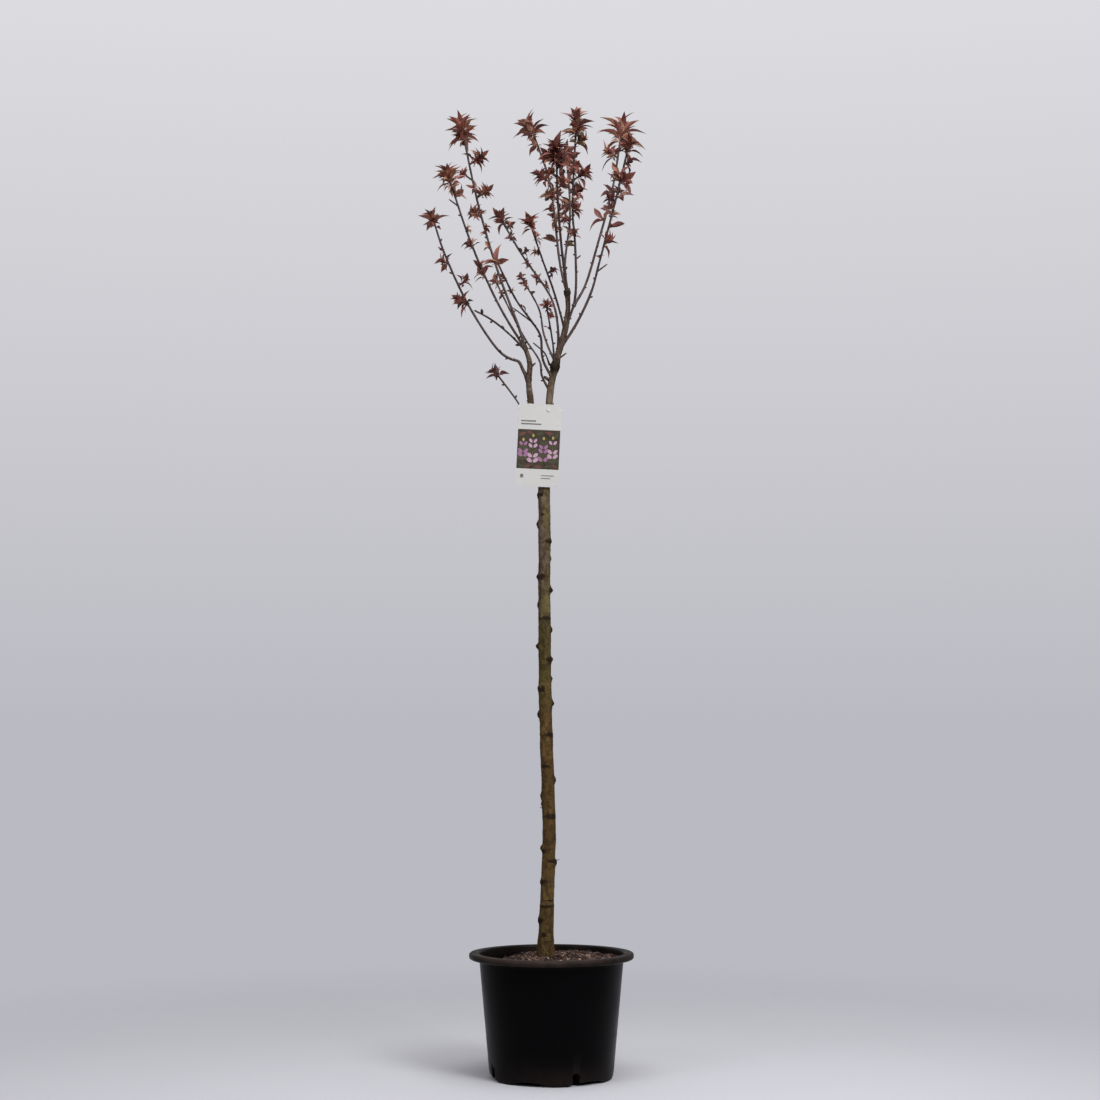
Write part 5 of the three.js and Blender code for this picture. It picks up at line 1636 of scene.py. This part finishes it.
class CherryBarkSettings(bpy.types.PropertyGroup):
    bark_low: colour_setting("Low bark", "Trunk bark near the compost", 100, 79, 44)
    bark_mid: colour_setting("Middle bark", "Russet bark of the lower half", 88, 66, 33)
    moss: colour_setting("Mossy bark", "Olive bark above the middle", 82, 72, 33)
    bark_high: colour_setting("High bark", "Bark of the upper trunk and both stems", 108, 90, 78)
    lichen: colour_setting("Lichen", "Film of lichen at the right of the upper trunk", 104, 94, 54)
    twig: colour_setting("Bough bark", "Bark of the boughs near their roots", 70, 54, 50)
    shoot: colour_setting("Shoot bark", "Bark of the youngest wood", 54, 37, 35)
    relief: number_setting("Relief", "Depth of the bark's relief against the usual", 1.0, 0, 2)
    bud_spacing: length_setting("Bud spacing", "Usual distance between buds along a limb", 0.046, 0.01, 0.2)


class CherryLeafSettings(bpy.types.PropertyGroup):
    plum: colour_setting("Plum", "Darkest grown leaves", 97, 58, 55)
    wine: colour_setting("Wine", "Usual grown leaves", 126, 75, 68)
    bronze: colour_setting("Bronze", "Reddest leaves", 145, 89, 75)
    copper: colour_setting("Copper", "Leaves that open to orange-brown", 159, 112, 90)
    rose: colour_setting("Rose", "Palest unfolding leaves", 167, 129, 111)
    olive: colour_setting("Olive", "Young leaves with some green", 124, 101, 68)
    inner_share: number_setting("Inner leaves", "Younger leaves for each grown one", 2.4, 0, 6)
    half_width: number_setting(
        "Half width", "Half a leaf's width against its length", 0.168, 0.05, 0.3, subtype="FACTOR"
    )
    seed: count_setting("Seed", "Another set of folds and tints", 12, 0)


class CherryLabelSettings(bpy.types.PropertyGroup):
    card: colour_setting("Card", "Colour of the card", 209, 208, 206)
    ground: colour_setting("Ground", "Dark ground of the printed band", 66, 58, 48)
    tie: colour_setting("Tie", "Colour of the loop", 222, 221, 215)
    bow: length_setting("Bow", "How far the card's lower corners stand forward", 0.0012, 0, 0.01)


class CherryStageSettings(bpy.types.PropertyGroup):
    floor: colour_setting("Floor", "Colour of the floor", 220, 220, 227)
    low_sky: colour_setting("Low surroundings", "Colour of the studio by the floor", 186, 186, 194)
    high_sky: colour_setting("High surroundings", "Colour of the studio higher up", 221, 220, 224)
    ambient: number_setting("Surroundings' light", "Strength of the even light", 0.45, 0, 5)
    key: number_setting("Key light", "Power of the light at the right in front", 70, 0, 500, unit="POWER")
    fill: number_setting("Fill light", "Power of the light at the left in front", 18, 0, 500, unit="POWER")
    top: number_setting("Top light", "Power of the light overhead", 60, 0, 500, unit="POWER")
    lens: number_setting("Lens", "Focal length on a 36 mm sensor, in millimetres", 67.68, 10, 300)


class CherrySettings(bpy.types.PropertyGroup):
    pot: bpy.props.PointerProperty(type=CherryPotSettings)
    compost: bpy.props.PointerProperty(type=CherryCompostSettings)
    bark: bpy.props.PointerProperty(type=CherryBarkSettings)
    leaves: bpy.props.PointerProperty(type=CherryLeafSettings)
    label: bpy.props.PointerProperty(type=CherryLabelSettings)
    stage: bpy.props.PointerProperty(type=CherryStageSettings)


# Pieces


def nodes_named(start):
    """The frame's nodes whose names begin like this."""
    return [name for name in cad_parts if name.startswith(start)]


class CHERRY_OT_stage(bpy.types.Operator):
    """Lays the plain floor, sets the soft lights and the surroundings, and places the camera"""

    bl_idname = "cherry.stage"
    bl_label = "Stage"

    def execute(self, context):
        settings = context.scene.cherry.stage
        self.lay_floor(settings)
        self.surroundings(context, settings)
        for name, place, aim, size in LIGHTS:
            self.light(f"light_{name}", getattr(settings, name), place, aim, size)
        camera = bpy.data.cameras.new("camera")
        camera.lens = settings.lens
        camera.sensor_width = 36
        camera.clip_end = 200
        seat = in_scene("camera", camera)
        seat.location = CAMERA_PLACE
        seat.rotation_euler = (math.radians(CAMERA_TILT_DEG), 0, 0)
        context.scene.camera = seat
        context.scene.view_settings.view_transform = "Standard"
        return {"FINISHED"}

    def lay_floor(self, settings):
        """A round floor that fades with distance into the surroundings, so that no edge shows."""
        finish = Finish("stage_floor", settings.floor, 0.85)
        finish.colour(finish.blend(finish.cloud(700, 0.0, 0.06), settings.floor, srgb(170, 170, 180)))
        away = finish.nodes.new("ShaderNodeVectorMath")
        away.operation = "LENGTH"
        finish.link(finish.place, away.inputs[0])
        finish.link(finish.part(away.outputs["Value"], *FLOOR_FADE), finish.shader.inputs["Alpha"])
        edge = [(*point, -FLOOR_BELOW) for point in FLOOR_RADIUS * circle(around(96))]
        mesh = bpy.data.meshes.new("stage_floor")
        mesh.from_pydata(edge, [], [range(len(edge))])
        mesh.materials.append(finish.material)
        floor = in_scene("stage_floor", mesh)
        floor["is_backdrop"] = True

    def surroundings(self, context, settings):
        """What shows behind is pale, and a little paler with height, by the upward part of the
        direction. What lights the tree is dim in front, brighter behind it and above."""
        world = bpy.data.worlds.new("studio")
        world.use_nodes = True
        nodes, link = world.node_tree.nodes, world.node_tree.links.new
        parts = nodes.new("ShaderNodeSeparateXYZ")
        link(nodes.new("ShaderNodeTexCoord").outputs["Generated"], parts.inputs[0])

        def share(axis, *ends):
            """The direction's part along an axis, laid out from one range to another."""
            node = nodes.new("ShaderNodeMapRange")
            for socket, value in zip(node.inputs[1:5], ends):
                socket.default_value = value
            link(parts.outputs[axis], node.inputs[0])
            return node.outputs["Result"]

        shown = nodes.new("ShaderNodeMix")
        shown.data_type = "RGBA"
        shown.inputs[6].default_value = (*settings.low_sky, 1)
        shown.inputs[7].default_value = (*settings.high_sky, 1)
        link(share("Z", 0.0, 0.34, 0, 1), shown.inputs[0])
        strength = nodes.new("ShaderNodeMath")
        strength.operation = "MAXIMUM"
        link(share("Y", 0.0, 0.9, settings.ambient * 0.25, settings.ambient), strength.inputs[0])
        link(share("Z", 0.3, 1.0, 0, settings.ambient), strength.inputs[1])
        backdrop = nodes["Background"]
        link(shown.outputs[2], backdrop.inputs["Color"])
        lighting = nodes.new("ShaderNodeBackground")
        lighting.inputs["Color"].default_value = (*settings.high_sky, 1)
        link(strength.outputs[0], lighting.inputs["Strength"])
        either = nodes.new("ShaderNodeMixShader")
        link(nodes.new("ShaderNodeLightPath").outputs["Is Camera Ray"], either.inputs[0])
        link(lighting.outputs[0], either.inputs[1])
        link(backdrop.outputs[0], either.inputs[2])
        link(either.outputs[0], nodes["World Output"].inputs["Surface"])
        context.scene.world = world

    def light(self, name, power, place, aim, size):
        """A soft rectangular light that faces its aim."""
        lamp = bpy.data.lights.new(name, "AREA")
        lamp.energy = power
        lamp.shape = "RECTANGLE"
        lamp.size, lamp.size_y = size
        holder = in_scene(name, lamp)
        holder.location = place
        aim_line = type(holder.location)(aim) - holder.location
        holder.rotation_euler = aim_line.to_track_quat("-Z", "Y").to_euler()


class CHERRY_OT_pot(bpy.types.Operator):
    """Turns the nursery pot with its rolled lip, feet, arches and slots"""

    bl_idname = "cherry.pot"
    bl_label = "Pot"

    def execute(self, context):
        settings = context.scene.cherry.pot
        surface = pot_surface(settings.columns)
        new_piece("nursery_pot", surface, [pot_finish(settings)], ["pot"], POT_CREASE_DEG)
        return {"FINISHED"}


class CHERRY_OT_compost(bpy.types.Operator):
    """Fills the pot with compost and scatters bark chips over it"""

    bl_idname = "cherry.compost"
    bl_label = "Compost"

    def execute(self, context):
        settings = context.scene.cherry.compost
        bed = compost_finish("compost_fines", settings.bed, srgb(66, 48, 40))
        new_piece("compost_bed", compost_bed(), [bed], ["soil"])
        kinds = [
            compost_finish(f"bark_chip_{number}", srgb(*dark), srgb(*pale))
            for number, (dark, pale) in enumerate(CHIP_COLOURS)
        ]
        new_piece("compost_chips", bark_chips(settings), kinds, ["soil"], CHIP_CREASE_DEG)
        return {"FINISHED"}


class CHERRY_OT_trunk(bpy.types.Operator):
    """Gives the trunk and both stems their bark, knots, year rings and cut stubs"""

    bl_idname = "cherry.trunk"
    bl_label = "Trunk and stems"

    def execute(self, context):
        settings = context.scene.cherry.bark
        bark = [trunk_finish(settings)]
        limbs, _ = tree()
        trunk = joined([trunk_surface(settings.relief), *hair_spurs()])
        new_piece("trunk_bark", trunk, bark, ["trunk"])
        stems = joined(stem_surfaces(limbs.values(), settings.relief))
        new_piece("stem_bark", stems, bark, list(STEMS), LIMB_CREASE_DEG)
        return {"FINISHED"}


class CHERRY_OT_boughs(bpy.types.Operator):
    """Grows the boughs with their short shoots and buds"""

    bl_idname = "cherry.boughs"
    bl_label = "Boughs and twigs"

    def execute(self, context):
        settings = context.scene.cherry.bark
        bark = [twig_finish(settings)]
        limbs, sprays = tree()
        boughs = joined(bough_surfaces(limbs.values(), settings.relief))
        new_piece("bough_bark", boughs, bark, nodes_named("bough_"), LIMB_CREASE_DEG)
        twigs = joined([*spur_surfaces(sprays), *bud_surfaces(limbs, settings.bud_spacing / MM)])
        new_piece("twigs_and_buds", twigs, bark, nodes_named("leaves_"), LIMB_CREASE_DEG)
        return {"FINISHED"}


class CHERRY_OT_leaves(bpy.types.Operator):
    """Opens the young leaves of every tuft, with their tints dealt out by spray"""

    bl_idname = "cherry.leaves"
    bl_label = "Leaves"

    def execute(self, context):
        settings = context.scene.cherry.leaves
        finishes = [leaf_finish(f"leaf_{tint}", getattr(settings, tint)) for tint in LEAF_TINTS]
        generator = np.random.default_rng(settings.seed)
        _, sprays = tree()
        colours = spray_colours(sprays, generator)
        leaves = [leaf for spray in sprays for leaf in spray.leaves]
        blades = leaf_blades(leaves, colours, settings.half_width, generator)
        new_piece("young_leaves", blades, finishes, nodes_named("leaves_"), LEAF_CREASE_DEG)
        return {"FINISHED"}


class CHERRY_OT_label(bpy.types.Operator):
    """Hangs the card with its plain printed band, and gives the tie its nylon"""

    bl_idname = "cherry.label"
    bl_label = "Label"

    def execute(self, context):
        settings = context.scene.cherry.label
        limbs, _ = tree()
        card = card_surface(limbs["stem_right"])
        white = card_finish("card_white", settings.card)
        new_piece("hanging_card", card, [white], ["label_card"], CARD_CREASE_DEG)
        finishes = [card_finish("ink_ground", settings.ground, INK_ROUGHNESS)]
        finishes.extend(card_finish(name, srgb(*levels), INK_ROUGHNESS) for name, levels in INKS)
        new_piece("card_print", joined(card_print()), finishes, ["label_card"], CARD_CREASE_DEG)
        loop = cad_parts["label_tie"]
        nylon = tie_finish(settings)
        for slot in loop.material_slots:
            slot.material = nylon
        return {"FINISHED"}


PIECES = (
    CHERRY_OT_stage, CHERRY_OT_pot, CHERRY_OT_compost, CHERRY_OT_trunk, CHERRY_OT_boughs, CHERRY_OT_leaves,
    CHERRY_OT_label,
)


class CHERRY_PT_panel(bpy.types.Panel):
    """Settings and pieces of the cherry tree"""

    bl_idname = "CHERRY_PT_panel"
    bl_label = "Cherry tree"
    bl_space_type = "VIEW_3D"
    bl_region_type = "UI"
    bl_category = "Cherry tree"

    def draw(self, context):
        cherry = context.scene.cherry
        for group in (cherry.pot, cherry.compost, cherry.bark, cherry.leaves, cherry.label, cherry.stage):
            box = self.layout.box()
            for name in group.bl_rna.properties.keys():
                if name not in {"rna_type", "name"}:
                    box.prop(group, name)
        for piece in PIECES:
            self.layout.operator(piece.bl_idname)


CLASSES = (
    CherryPotSettings, CherryCompostSettings, CherryBarkSettings, CherryLeafSettings, CherryLabelSettings,
    CherryStageSettings, CherrySettings, *PIECES, CHERRY_PT_panel,
)


def register():
    """Adds the settings, the operators and the panel."""
    for each in CLASSES:
        bpy.utils.register_class(each)
    bpy.types.Scene.cherry = bpy.props.PointerProperty(type=CherrySettings)


def unregister():
    """Takes them away again."""
    del bpy.types.Scene.cherry
    for each in reversed(CLASSES):
        bpy.utils.unregister_class(each)


def corners():
    """The shown object's lowest and highest corner as plain lists of numbers."""
    low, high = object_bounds()
    return [[float(value) for value in low], [float(value) for value in high]]


def main():
    """Registers the add-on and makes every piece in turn."""
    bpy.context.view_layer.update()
    register()
    bpy.ops.cherry.stage()
    bpy.ops.cherry.pot()
    bpy.ops.cherry.compost()
    bpy.ops.cherry.trunk()
    bpy.ops.cherry.boughs()
    bpy.ops.cherry.leaves()
    bpy.ops.cherry.label()


if __name__ == "__main__":
    main()
